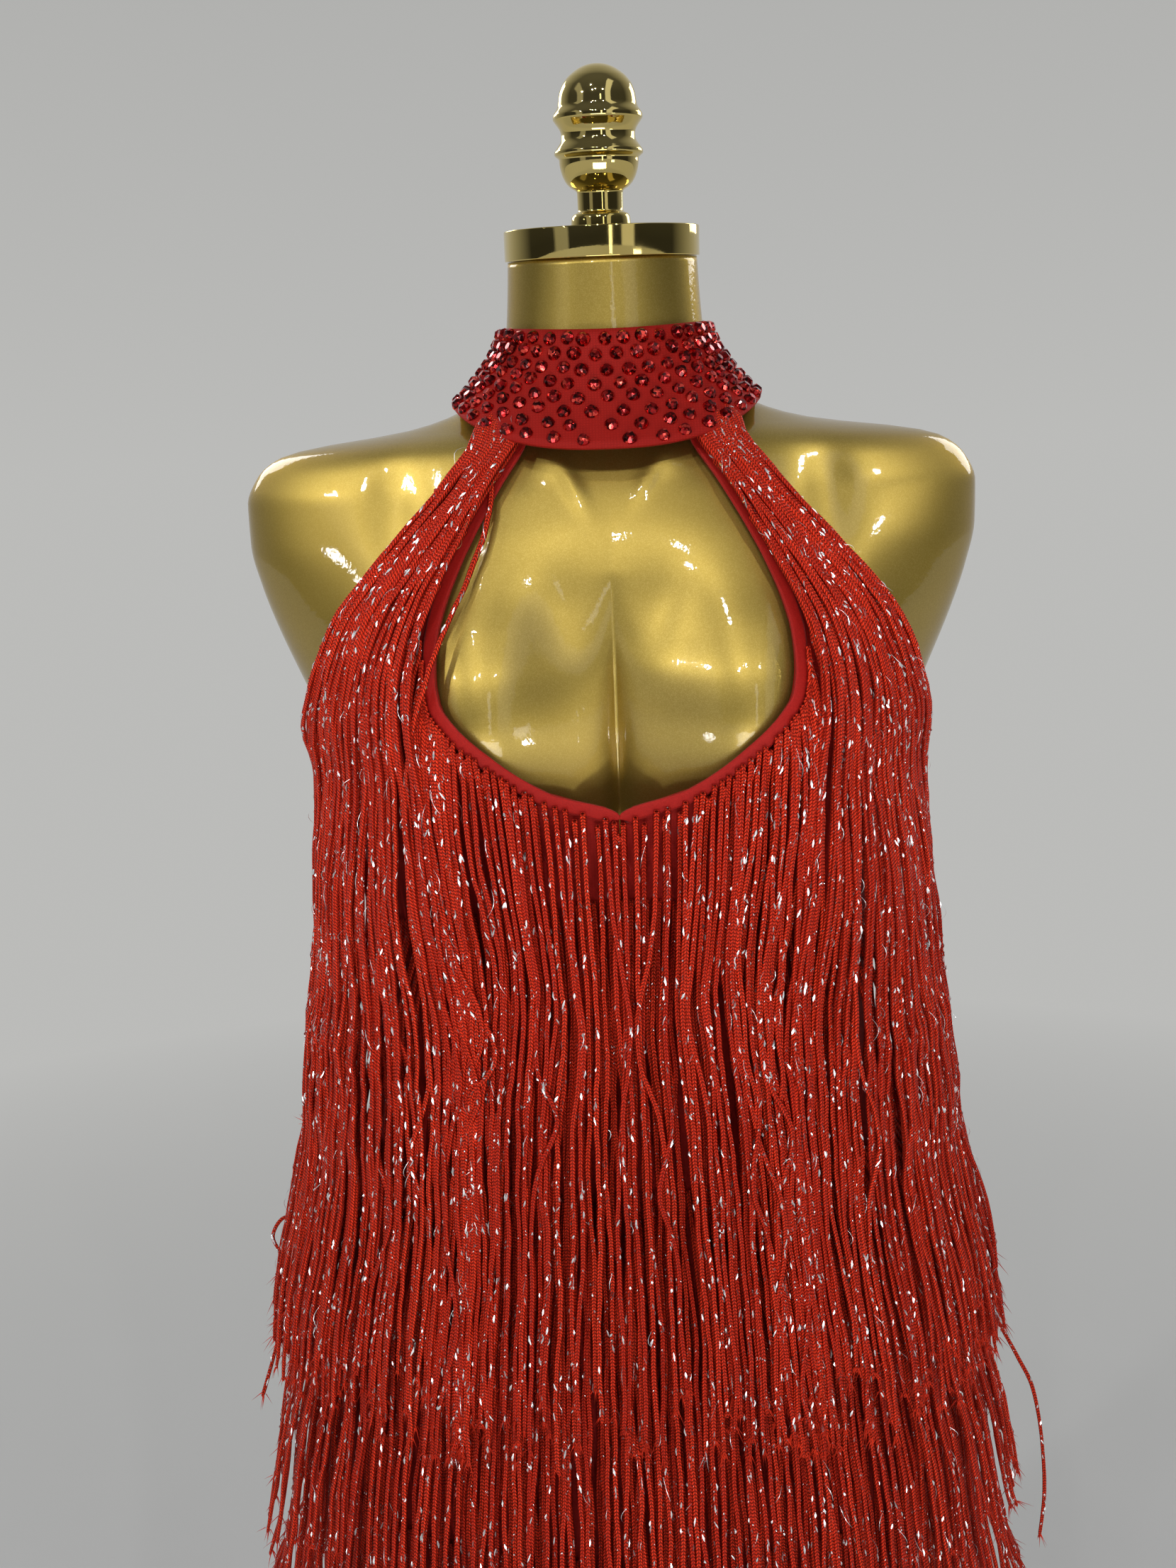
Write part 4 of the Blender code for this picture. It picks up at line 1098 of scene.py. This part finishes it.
def hang_row(bundle, name):
    """Makes a row's mesh, which takes the place of the strips with the same name in the CAD model."""
    cords = bundle.make("cords_" + name, yarn)
    stands_for("fringe_" + name)
    print(cords.name, bundle.cords, "cords,", triangles(cords), "triangles")


def played_end():
    """The height where a cord of the top layer ends."""
    return TOP_END + chance.uniform(-1, 1) * END_PLAY


def stray(height):
    """Now and then a cord strays sideways over its neighbours for a stretch: metres aside and out."""
    if chance.uniform() > STRAYS:
        return 0.0, 0.0
    down = height - chance.uniform(*STRAY_HEIGHTS)
    swing = np.exp(-((down / chance.uniform(*STRAY_LENGTHS)) ** 2))
    return chance.choice([-1, 1]) * chance.uniform(*STRAY_ASIDE) * swing, STRAY_OUT * swing


def straight_cord(bundle, start, root, end, layer, out=0.0, shows=ALL, at_root=0.0, fan=0.0):
    """A cord that hangs straight down from its root, at one place round the dress."""
    length = root - end
    steps = max(4, int(length / STEP))
    down = np.linspace(0, length, steps)
    if layer == TOP_LAYER:
        down = np.concatenate([[0, 0.003], np.linspace(0.008, length, steps)])
    height = root - down
    strayed, raised = stray(height) if layer == TOP_LAYER else (0.0, 0.0)
    grouped = gather(start, height, layer) * np.clip(down / 0.10, 0, 1)
    aside = wander(down, SWING) + grouped + strayed
    aside = aside + fan * (1 - np.exp(-down / 0.02))
    lift = layer_lift(height, layer, root) + out * np.clip(down / 0.02, 0, 1)
    lift = lift + wander(down, 0.0009) + raised
    over_rim = at_root * np.clip(1.6 - down / 0.010, 0, 1)
    lift = np.maximum(lift, np.maximum(LEAST_LIFT, over_rim))
    across = start + aside / HALF_ROUND
    hang_cord(bundle, across, height, lift, chance.uniform(0.6, 1.0), shows)


# name, layer, root in front, root behind, end, cords, height below which they show
TIERS = (
    ("bust", BUST_LAYER, 1.130, 1.040, 0.735, 210, 0.90),
    ("waist", WAIST_LAYER, 0.960, 0.950, 0.655, 220, 0.78),
    ("hip", HIP_LAYER, 0.855, 0.850, 0.622, 220, 0.70),
    ("hem", HEM_LAYER, 0.745, 0.745, 0.604, 200, 0.66),
)
for name, layer, root_front, root_back, end, cords, shows in TIERS:
    bundle = Bundle()
    for number in range(cords):
        start = -1 + 2 * (number + chance.uniform(-0.3, 0.3)) / cords
        middle, slope = (root_front + root_back) / 2, (root_front - root_back) / 2
        root = middle + slope * math.cos(start * math.pi)
        low = end + chance.uniform(-1, 1) * END_PLAY * 0.9
        straight_cord(bundle, start, root, low, layer, chance.uniform(-0.002, 0.003), shows)
    hang_row(bundle, name)

# %% Cords of the keyhole and the back
UNDER_RIM = 0.0034  # the cords are sewn on this far below the keyhole's edge, over its binding
OVER_RIM = 0.0045
# distance of each row below the edge, distance further out, cords
KEYHOLE_ROWS = ((0.0, 0.003, 74), (0.005, -0.001, 62))
BACK_ROWS = ((0.0035, 0.002, 104), (0.008, -0.001, 80))
bundle = Bundle()
for below, out, count in KEYHOLE_ROWS:
    for number in range(count):
        share = -1 + 2 * (number + 0.5 + chance.uniform(-0.3, 0.3)) / count
        across, height = front_place(0.0, KEYHOLE_ROW - 5.6 * abs(share) ** 0.85)
        start = math.copysign(max(float(across), SEAM_SHARE), share)
        steep = min(1.0, 1.6 * abs(share))
        start += math.copysign(0.0040 * steep / HALF_ROUND, share)
        root = float(height) - (UNDER_RIM + below) * (1 - 0.5 * steep)
        end = played_end()
        fan = math.copysign(0.0025 * steep, share)
        straight_cord(bundle, start, root, end, TOP_LAYER, out, at_root=OVER_RIM, fan=fan)
hang_row(bundle, "keyhole")
bundle = Bundle()
for below, out, count in BACK_ROWS:
    for number in range(count):
        start = 0.512 + 0.976 * (number + 0.5 + chance.uniform(-0.25, 0.25)) / count
        root = float(back_edge(np.array(start))) - below
        straight_cord(bundle, start, root, played_end(), TOP_LAYER, out, at_root=OVER_RIM)
hang_row(bundle, "back")

# %% Cords of the straps
STRAP_HANGS = (0.170, 0.490)  # across values where the strap's inner and outer cords hang
TAPE_OVER_BINDING = 0.0022
# row of the strap where the cords start, how many, distance further out
STRAP_STARTS = (
    (2.5, 15, 0.0035),
    (3.4, 15, 0.0012),
    (4.8, 13, 0.0030),
    (6.2, 12, 0.0010),
    (7.6, 11, 0.0026),
    (8.8, 10, 0.0002),
)


def strap_cord(bundle, share, first_row, out, side):
    """A cord that lies down along the strap as far as the bust, and hangs from there."""
    bend = share + 0.05 * (share - 0.5) * np.sin(np.linspace(0, math.pi, 60))
    across, height = front_place(bend, np.linspace(first_row, BUST_ROW, 60))
    way = way_along(skin_point(across, height))
    length = way[-1] + height[-1] - played_end()
    down = np.linspace(0, length, int(length / STEP))
    hanging = np.clip(down - way[-1], 0, None)
    settled = STRAP_HANGS[0] + (STRAP_HANGS[1] - STRAP_HANGS[0]) * share
    aside = (settled - across[-1]) * (1 - np.exp(-hanging / 0.05))
    places = np.interp(down, way, across) + aside
    heights = np.interp(down, way, height) - hanging
    lift = layer_lift(heights, TOP_LAYER, heights[0])
    over = (TAPE_OVER_BINDING + out) * np.clip(down / 0.006, 0.2, 1)
    strayed, raised = stray(heights)
    lift = np.maximum(lift + over + wander(down, SWING), 0.004) + raised
    drift = gather(places, heights, TOP_LAYER) * np.clip(hanging / 0.1, 0, 1) + strayed
    places = places + (wander(down, SWING) + drift) / HALF_ROUND
    hang_cord(bundle, side * places, heights, lift, chance.uniform(0.6, 1.0))


# One cord has come off the left strap's tape and hangs a little inside the keyhole.
# height, distance inside the keyhole's edge, distance out
LOOSE = (
    (0.860, -0.016, 0.0150),
    (1.180, -0.010, 0.0120),
    (1.225, -0.004, 0.0100),
    (1.245, 0.0010, 0.0080),
    (1.262, 0.0050, 0.0060),
    (1.285, 0.0080, 0.0050),
    (1.304, 0.0070, 0.0050),
    (1.320, 0.0030, 0.0060),
    (1.338, -0.006, 0.0080),
)


def loose_cord(bundle):
    height = np.concatenate([np.arange(1.338, 1.18, -0.004), np.arange(1.18, 0.86, -STEP)])
    edge = np.array(STRAP_ROWS[::-1])
    edge_x = np.interp(np.maximum(height, 1.24), edge[:, 1], edge[:, 0])
    inside, out = column(LOOSE, height, 1), column(LOOSE, height, 2)
    across = np.array([across_at(x, max(h, 1.2)) for x, h in zip(edge_x - inside, height)])
    hang_cord(bundle, -across, height, out, 0.9)


# Cords that have worked loose at the sides: x and then height of the points on each one.
LOOSE_ENDS = (
    ((-0.16, -0.173, -0.1796, -0.1816, -0.182, -0.178), (1.11, 1.075, 1.058, 1.036, 1.014, 0.998)),
    ((-0.172, -0.1849, -0.1923, -0.1949), (0.992, 0.9735, 0.9591, 0.9647)),
    ((-0.178, -0.1945, -0.2118, -0.2201, -0.2135, -0.2021), (0.902, 0.9, 0.9, 0.889, 0.878, 0.867)),
    ((-0.198, -0.211, -0.2224, -0.2277, -0.2341), (0.87, 0.845, 0.8195, 0.8026, 0.783)),
    ((0.196, 0.213, 0.234, 0.244, 0.2495, 0.2515, 0.25), (0.87, 0.835, 0.7953, 0.773, 0.738, 0.703, 0.67)),
)
SIDE_CORDS = 15


def loose_end(bundle, points):
    places = np.arange(len(points[0]))
    finer = np.linspace(0, places[-1], 7 * len(places))
    x, height = (curve_through(places, values, finer) for values in points)
    path = np.stack([x, -0.010 + 0.004 * np.sin(finer), height], -1)
    outward = np.tile([0.0, -1.0, 0.0], (len(path), 1))
    bundle.add(path, outward, 0.95, size=0.8)
    trails.append((path, outward, ALL))


for side, name in ((1, "right"), (-1, "left")):
    bundle = Bundle()
    for first_row, count, out in STRAP_STARTS:
        for number in range(count):
            share = 0.05 + 0.935 * (number + 0.5 + chance.uniform(-0.3, 0.3)) / count
            strap_cord(bundle, share, first_row + chance.uniform(-0.2, 0.2), out, side)
    # below the armhole the cords are sewn on along its edge, as far as the side seam
    for number in range(SIDE_CORDS):
        share = (number + chance.uniform(0.2, 0.8)) / SIDE_CORDS
        row = BUST_ROW + 0.1 + (SIDE_ROW - BUST_ROW - 0.15) * share
        across, height = front_place(0.975, row)
        start, root = side * float(across), float(height) - 0.003
        out = (0.003, -0.001)[number % 2]
        straight_cord(bundle, start, root, played_end(), TOP_LAYER, out, at_root=OVER_RIM)
    if side < 0:
        loose_cord(bundle)
    for points in LOOSE_ENDS:
        if points[0][0] * side > 0:
            loose_end(bundle, points)
    hang_row(bundle, "strap_" + name)

# %% [markdown]
# ### Silver thread
#
# A flat silver thread runs through every cord and comes to the surface here and there, where it shows
# as a glint two to five millimetres long. Now and then it stands off as a fine curled hair. Each glint
# is a tiny bent ribbon of real geometry on its cord, turned its own way, so that from any side some of
# them flash and others stay grey, as in the photograph.

# %% Glints and curled hairs
silver, shader = finish_of("silver thread", (0.92, 0.92, 0.94), 0.36, 1.0)
glint_tint = patchy(silver, noise(silver, 700.0), (0.80, 0.80, 0.83), (1.0, 1.0, 1.0), 0.35, 0.65)
join(silver, glint_tint, shader, "Base Color")


def read_along(length, values, at):
    """Rows of three values, read at some distances along a path."""
    return np.stack([np.interp(at, length, values[:, i]) for i in range(3)], -1)


def ribbons(every, long, wide, bow, segments):
    """Bent ribbons on the cords: arrays of points and faces. long, wide and bow are ranges."""
    spots, alongs, outs = [], [], []
    for path, outward, shows in trails:
        length = way_along(path)
        count = chance.poisson(length[-1] / every)
        at = np.sort(chance.uniform(0.004, length[-1], count))
        place = read_along(length, path, at)
        keep = place[:, 2] < shows
        spots.append(place[keep])
        alongs.append(read_along(length, unit(np.gradient(path, axis=0)), at[keep]))
        outs.append(read_along(length, outward, at[keep]))
    spot, along, out = np.concatenate(spots), unit(np.concatenate(alongs)), np.concatenate(outs)
    count = len(spot)
    aside = unit(np.cross(along, out))
    out = np.cross(aside, along)
    round_cord = chance.normal(0, 0.8, count)[:, None]
    radial = out * np.cos(round_cord) + aside * np.sin(round_cord)
    sideways = np.cross(along, radial)
    lean = chance.normal(0, 0.25, count)[:, None]
    run = unit(along + sideways * lean)
    sideways = np.cross(run, radial)
    twist = chance.uniform(-1.1, 1.1, count)[:, None]
    size, breadth, rise = (chance.uniform(*pair, count)[:, None] for pair in (long, wide, bow))
    edge = sideways * np.cos(twist) + radial * np.sin(twist)
    rows = []
    for way in np.linspace(-0.5, 0.5, segments + 1):
        lift = CORD_DEEP * 0.5 + rise * math.cos(math.pi * way)
        middle = spot + run * size * way + radial * lift
        taper = breadth / 2 * (0.35 + 0.65 * math.cos(math.pi * way))
        rows.append(np.stack([middle - edge * taper, middle + edge * taper], 1))
    points = np.stack(rows, 1).reshape(-1, 3)
    faces = grid_faces(segments + 1, 2)[None] + np.arange(count)[:, None, None] * 2 * (segments + 1)
    return points, faces.reshape(-1, 4)


# metres between them, then the ranges of their length, width and bow, and their segments
GLINTS = (0.0125, (0.0016, 0.0048), (0.0007, 0.0013), (0.0001, 0.0005), 2)
CURLED_HAIRS = (0.16, (0.006, 0.013), (0.00018, 0.0003), (0.001, 0.0035), 5)
glint_points, glint_faces = ribbons(*GLINTS)
hair_points, hair_faces = ribbons(*CURLED_HAIRS)
thread_points = np.concatenate([glint_points, hair_points])
thread_faces = np.concatenate([glint_faces, hair_faces + len(glint_points)])
thread = mesh_from("silver_thread", thread_points, [thread_faces], silver)
print("glints:", len(glint_faces) // GLINTS[-1], "and hairs:", len(hair_faces) // CURLED_HAIRS[-1])
print("silver thread:", triangles(thread), "triangles")

# %% [markdown]
# ## The stones on the collar
#
# Eight staggered rows of round faceted stones are set all round the collar. They are red glass, seven
# millimetres wide, cut with an eight-sided table and two rings of facets. One stone is cut in code and
# then placed by formula. Flat shading keeps each facet a mirror of its own.

# %% Red stones
STONE_WIDE = 0.0073
STONE_TALL = 0.0033
STONE_ROWS = 8
STONES_ROUND = 36
STONE_LEVELS = (0.085, 0.940)  # levels of the first and the last row on the collar
NO_STONES = 0.2  # turn to each side of the back centre, where the closing tab is
ruby, shader = finish_of(
    "red glass", (0.42, 0.006, 0.010), 0.09, 0.85, Coat_Weight=0.35, Coat_Roughness=0.02
)
# the base colour is painted reflection: random cells of dark maroon, red and a few bright orange red
# glints stand in for the light seen inside the cut glass
where = node(ruby, "TexCoord").outputs["Object"]
sparkle = node(ruby, "TexVoronoi", {"Vector": where, "Scale": 620.0}).outputs["Color"]
spark = node(ruby, "SeparateColor", {0: sparkle}).outputs[0]
painted_reflections = patchy(ruby, spark, (0.05, 0.0010, 0.002), (0.55, 0.008, 0.010), 0.15, 0.75)
painted_glints = patchy(ruby, spark, painted_reflections, (1.0, 0.09, 0.06), 0.80, 0.86)
join(ruby, painted_glints, shader, "Base Color")


def cut_stone():
    """Points and faces of one stone on its flat back, from rings of (radius, height, corners, turn)."""
    rings = ((1.0, 0.0, 16, 0.5), (1.0, 0.22, 16, 0.5), (0.80, 0.62, 8, 0.0), (0.52, 1.0, 8, 0.5))
    points, starts = [], []
    for radius, tall, corners, turn in rings:
        angle = 2 * math.pi * (np.arange(corners) + turn) / corners
        starts.append(len(points))
        points += [(radius * math.cos(a) / 2, radius * math.sin(a) / 2, tall) for a in angle]
    wall = grid_faces(2, 16, wrap=True)[:, [0, 3, 2, 1]]
    j = np.arange(8)
    _, girdle, crown, table = starts
    # crown point j points at girdle corners 2j - 1 and 2j
    left, middle, right = (girdle + (2 * j + i) % 16 for i in (-1, 0, 1))
    crown_next, table_next = crown + (j + 1) % 8, table + (j + 1) % 8
    crown, table = crown + j, table + j
    lower = [(left, middle, crown), (middle, right, crown), (right, crown_next, crown)]
    upper = [(crown, crown_next, table), (crown_next, table_next, table)]
    points = np.array(points) * [STONE_WIDE, STONE_WIDE, STONE_TALL]
    facets = np.concatenate([np.stack(corners, -1) for corners in lower + upper])
    return points, wall, facets, table


def placed_stones():
    """Every stone in its place, a little uneven as when they are set by hand."""
    stone, wall, triangular, table = cut_stone()
    points, walls, facets, tables = [], [], [], []
    top, low = STONE_LEVELS
    for row in range(STONE_ROWS):
        level = top + (low - top) * (row / (STONE_ROWS - 1)) ** 0.94
        for number in range(STONES_ROUND):
            turn = 2 * math.pi * (number + 0.5 * (row % 2) + chance.uniform(-0.10, 0.10)) / STONES_ROUND
            if abs(turn - math.pi) < NO_STONES:
                continue
            uneven = level + chance.uniform(-0.012, 0.012)
            spot, normal = collar_outside(np.array(turn), np.array(uneven), COLLAR_WALL)
            aside = unit(np.cross([0, 0, 1], normal))
            above = np.cross(normal, aside)
            tilt = normal + chance.normal(0, 0.05) * aside + chance.normal(0, 0.05) * above
            turned_by = chance.uniform(0, math.pi)
            first = aside * math.cos(turned_by) + above * math.sin(turned_by)
            normal = unit(tilt)
            second = unit(np.cross(normal, first))
            first = np.cross(second, normal)
            start = len(points) * len(stone)
            size = chance.uniform(0.94, 1.05)
            points.append(spot + size * (stone @ np.array([first, second, normal])))
            walls.append(wall + start)
            facets.append(triangular + start)
            tables.append(table[None] + start)
    return np.concatenate(points), [np.concatenate(kind) for kind in (walls, facets, tables)]


stone_points, stone_faces = placed_stones()
stones = mesh_from("collar_stones", stone_points, stone_faces, ruby, smooth=False)
print("stones:", len(stone_faces[2]), "with", triangles(stones), "triangles")

# %% [markdown]
# ## Camera, light and floor
#
# The camera stands where the photograph was taken from: a little under one metre in front, at
# shoulder height, looking down twelve degrees and turned slightly. Polished and lacquered gold shows
# what stands round it, so the light is made of many small lamps, as in a shop: area lamps for the
# highlights of the form, narrow spotlights for the shoulders and the bust, and two tall windows in the
# world that the polished metal mirrors. The floor is pale and fades into the background.

# %% The photograph's camera
PHOTO_TALL = 2212  # in pixels
FOCAL = 2200  # in pixels of the photograph
PITCH, ROLL, YAW = math.radians(12), math.radians(2.1), math.radians(1.3)
CAMERA_AT = (0.002, -0.88, 1.35)
SENSOR = 36.0
ahead = np.array([-math.sin(YAW) * math.cos(PITCH), math.cos(YAW) * math.cos(PITCH), -math.sin(PITCH)])
right = unit(np.cross(ahead, [0, 0, 1]))
up = np.cross(right, ahead)
tilted_right = right * math.cos(ROLL) - up * math.sin(ROLL)
tilted_up = right * math.sin(ROLL) + up * math.cos(ROLL)
lens = bpy.data.cameras.new("photo camera")
lens.sensor_fit = "VERTICAL"
lens.sensor_width = lens.sensor_height = SENSOR
lens.lens = FOCAL * SENSOR / PHOTO_TALL
camera = bpy.data.objects.new("photo camera", lens)
bpy.context.scene.collection.objects.link(camera)
pose = np.eye(4)
pose[:3, 0], pose[:3, 1], pose[:3, 2], pose[:3, 3] = tilted_right, tilted_up, -ahead, CAMERA_AT
camera.matrix_world = Matrix(pose.tolist())
bpy.context.scene.camera = camera
print("lens:", round(lens.lens, 2), "mm")

# %% Studio light
bpy.context.scene.view_settings.view_transform = "Standard"
world = bpy.data.worlds.new("studio")
bpy.context.scene.world = world
world.use_nodes = True
HORIZON = 0.50
direction = node(world, "SeparateXYZ", {0: node(world, "TexCoord").outputs["Generated"]})
behind = stretch(world, direction.outputs[1], 0.0, 0.8, 0.035, 0.52)
overhead = stretch(world, direction.outputs[2], 0.0, 1.0, 0.0, 0.08)
room = world.node_tree.nodes["Background"]
room.inputs["Color"].default_value = (0.98, 0.99, 1.0, 1)


def window(first, last, fade, brightness):
    """A tall strip of light in the world between two sideways directions, with soft edges."""
    start = stretch(world, direction.outputs[0], first, first + fade, 0, brightness)
    end = stretch(world, direction.outputs[0], last - fade, last, brightness, 0)
    return maths(world, "MINIMUM", start, end)


windows = maths(world, "ADD", window(0.38, 0.63, 0.03, 0.7), window(-0.84, -0.60, 0.04, 0.3))
in_front = stretch(world, direction.outputs[1], -0.15, -0.25, 0.0, 1.0)
windows = maths(world, "MULTIPLY", windows, in_front)
light = maths(world, "ADD", maths(world, "ADD", behind, overhead), windows)
join(world, light, room, "Strength")
plain = node(world, "Background", {"Color": (1.0, 1.0, 0.975, 1)})
join(world, stretch(world, direction.outputs[2], 0.0, 0.35, HORIZON, 0.42), plain, "Strength")
seen = node(world, "LightPath").outputs["Is Camera Ray"]
mixed = node(world, "MixShader", {0: seen, 1: room.outputs[0], 2: plain.outputs[0]})
join(world, mixed.outputs[0], world.node_tree.nodes["World Output"], "Surface")
# place, watts, width, height and spread in degrees of each lamp
LAMPS = (
    ((-1.28, -1.32, 2.30), 6.6, 0.06, 0.06, 180),
    ((-0.45, -1.29, 2.87), 2.2, 0.05, 0.05, 180),
    ((-0.39, -1.68, 2.42), 4.0, 0.05, 0.05, 180),
    ((-0.12, -1.66, 2.52), 3.0, 0.05, 0.05, 180),
    ((0.55, -1.60, 2.45), 4.4, 0.06, 0.06, 180),
    ((0.42, -2.30, 1.60), 1.5, 0.14, 1.30, 180),
    ((0.05, -2.00, 0.50), 6.2, 1.50, 0.50, 120),
    ((1.60, -1.80, 0.95), 1.8, 0.40, 0.35, 180),
    ((-1.30, 1.60, 2.30), 8.0, 0.8, 0.8, 180),
    ((1.40, 1.40, 2.10), 7.0, 0.8, 0.8, 180),
)
MIDDLE = (0, 0, 1.15)
SHOULDER = (0.170, -0.03, 1.29)
BREASTS = (0.020, -0.13, 1.195)
SPOT_BLEND = 0.7  # how softly a spotlight's edge fades
# place, watts, radius, what it is aimed at and the width of its cone in degrees
SPOTLIGHTS = (
    ((-1.74, -0.67, 1.86), 9.0, 0.09, SHOULDER, 11),
    ((-1.39, -0.22, 2.62), 26.0, 0.03, SHOULDER, 11),
    ((-0.92, -0.48, 2.90), 17.0, 0.03, SHOULDER, 11),
    ((1.59, -0.75, 2.13), 19.0, 0.06, SHOULDER, 11),
    ((1.25, -0.25, 2.73), 18.0, 0.03, SHOULDER, 11),
    ((-1.55, -1.55, 0.66), 18.0, 0.14, BREASTS, 6),
    ((1.55, -1.55, 0.66), 20.0, 0.08, BREASTS, 6),
)


def hang_lamp(lamp, spot, watts, aim):
    lamp.energy = watts
    holder = bpy.data.objects.new(lamp.name, lamp)
    bpy.context.scene.collection.objects.link(holder)
    holder.location = spot
    holder.rotation_euler = (Vector(aim) - holder.location).to_track_quat("-Z", "Y").to_euler()


for number, (spot, watts, wide, tall, spread) in enumerate(LAMPS):
    lamp = bpy.data.lights.new(f"lamp {number}", "AREA")
    lamp.shape = "RECTANGLE"
    lamp.size, lamp.size_y = wide, tall
    lamp.spread = math.radians(spread)
    hang_lamp(lamp, spot, watts, MIDDLE)
for number, (spot, watts, radius, aim, cone) in enumerate(SPOTLIGHTS):
    lamp = bpy.data.lights.new(f"spotlight {number}", "SPOT")
    lamp.shadow_soft_size = radius
    lamp.spot_size = math.radians(cone)
    lamp.spot_blend = SPOT_BLEND
    hang_lamp(lamp, spot, watts, (math.copysign(aim[0], spot[0]), aim[1], aim[2]))
floor_paint, shader = finish_of("pale floor", (0.70, 0.70, 0.70), 0.8, Specular_IOR_Level=0.0)
where = node(floor_paint, "TexCoord").outputs["Object"]
distance = node(floor_paint, "VectorMath", {0: where}, operation="LENGTH").outputs["Value"]
far = stretch(floor_paint, distance, 0.9, 2.9, 0, 1)
near_paint = between(floor_paint, noise(floor_paint, 3.0, 4.0), (0.72, 0.72, 0.71), (0.76, 0.76, 0.75))
join(floor_paint, between(floor_paint, far, near_paint, (0, 0, 0)), shader, "Base Color")
# far away the floor turns black and glows as brightly as the background, a painted glow that stands in for
# a paper sweep running up into the pale wall
shader.inputs["Emission Color"].default_value = (1.0, 1.0, 0.975, 1)
join(floor_paint, maths(floor_paint, "MULTIPLY", far, HORIZON), shader, "Emission Strength")
FLOOR_RADIUS = 14
around = np.linspace(0, 2 * math.pi, 96, endpoint=False)
rim = FLOOR_RADIUS * np.stack([np.cos(around), np.sin(around), np.zeros(96)], -1)
rim[:, 2] = -0.0005
floor = mesh_from("floor", rim, [np.arange(96)[None]], floor_paint, smooth=False)
floor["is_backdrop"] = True
print("lamps:", len(LAMPS), "and spotlights:", len(SPOTLIGHTS))

# %% [markdown]
# ## The frame and the box
#
# Every piece rides on the one body of the frame. The script prints the box of everything that is
# shown, and the dress's triangles.

# %% Ride, measure and finish
for piece in dress.objects:
    if piece is not floor:
        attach(piece, "root")
low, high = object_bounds()
print("visual box in mm:", [round(1000 * v) for v in (*low, *high)])
print("triangles in all:", sum(triangles(piece) for piece in dress.objects))
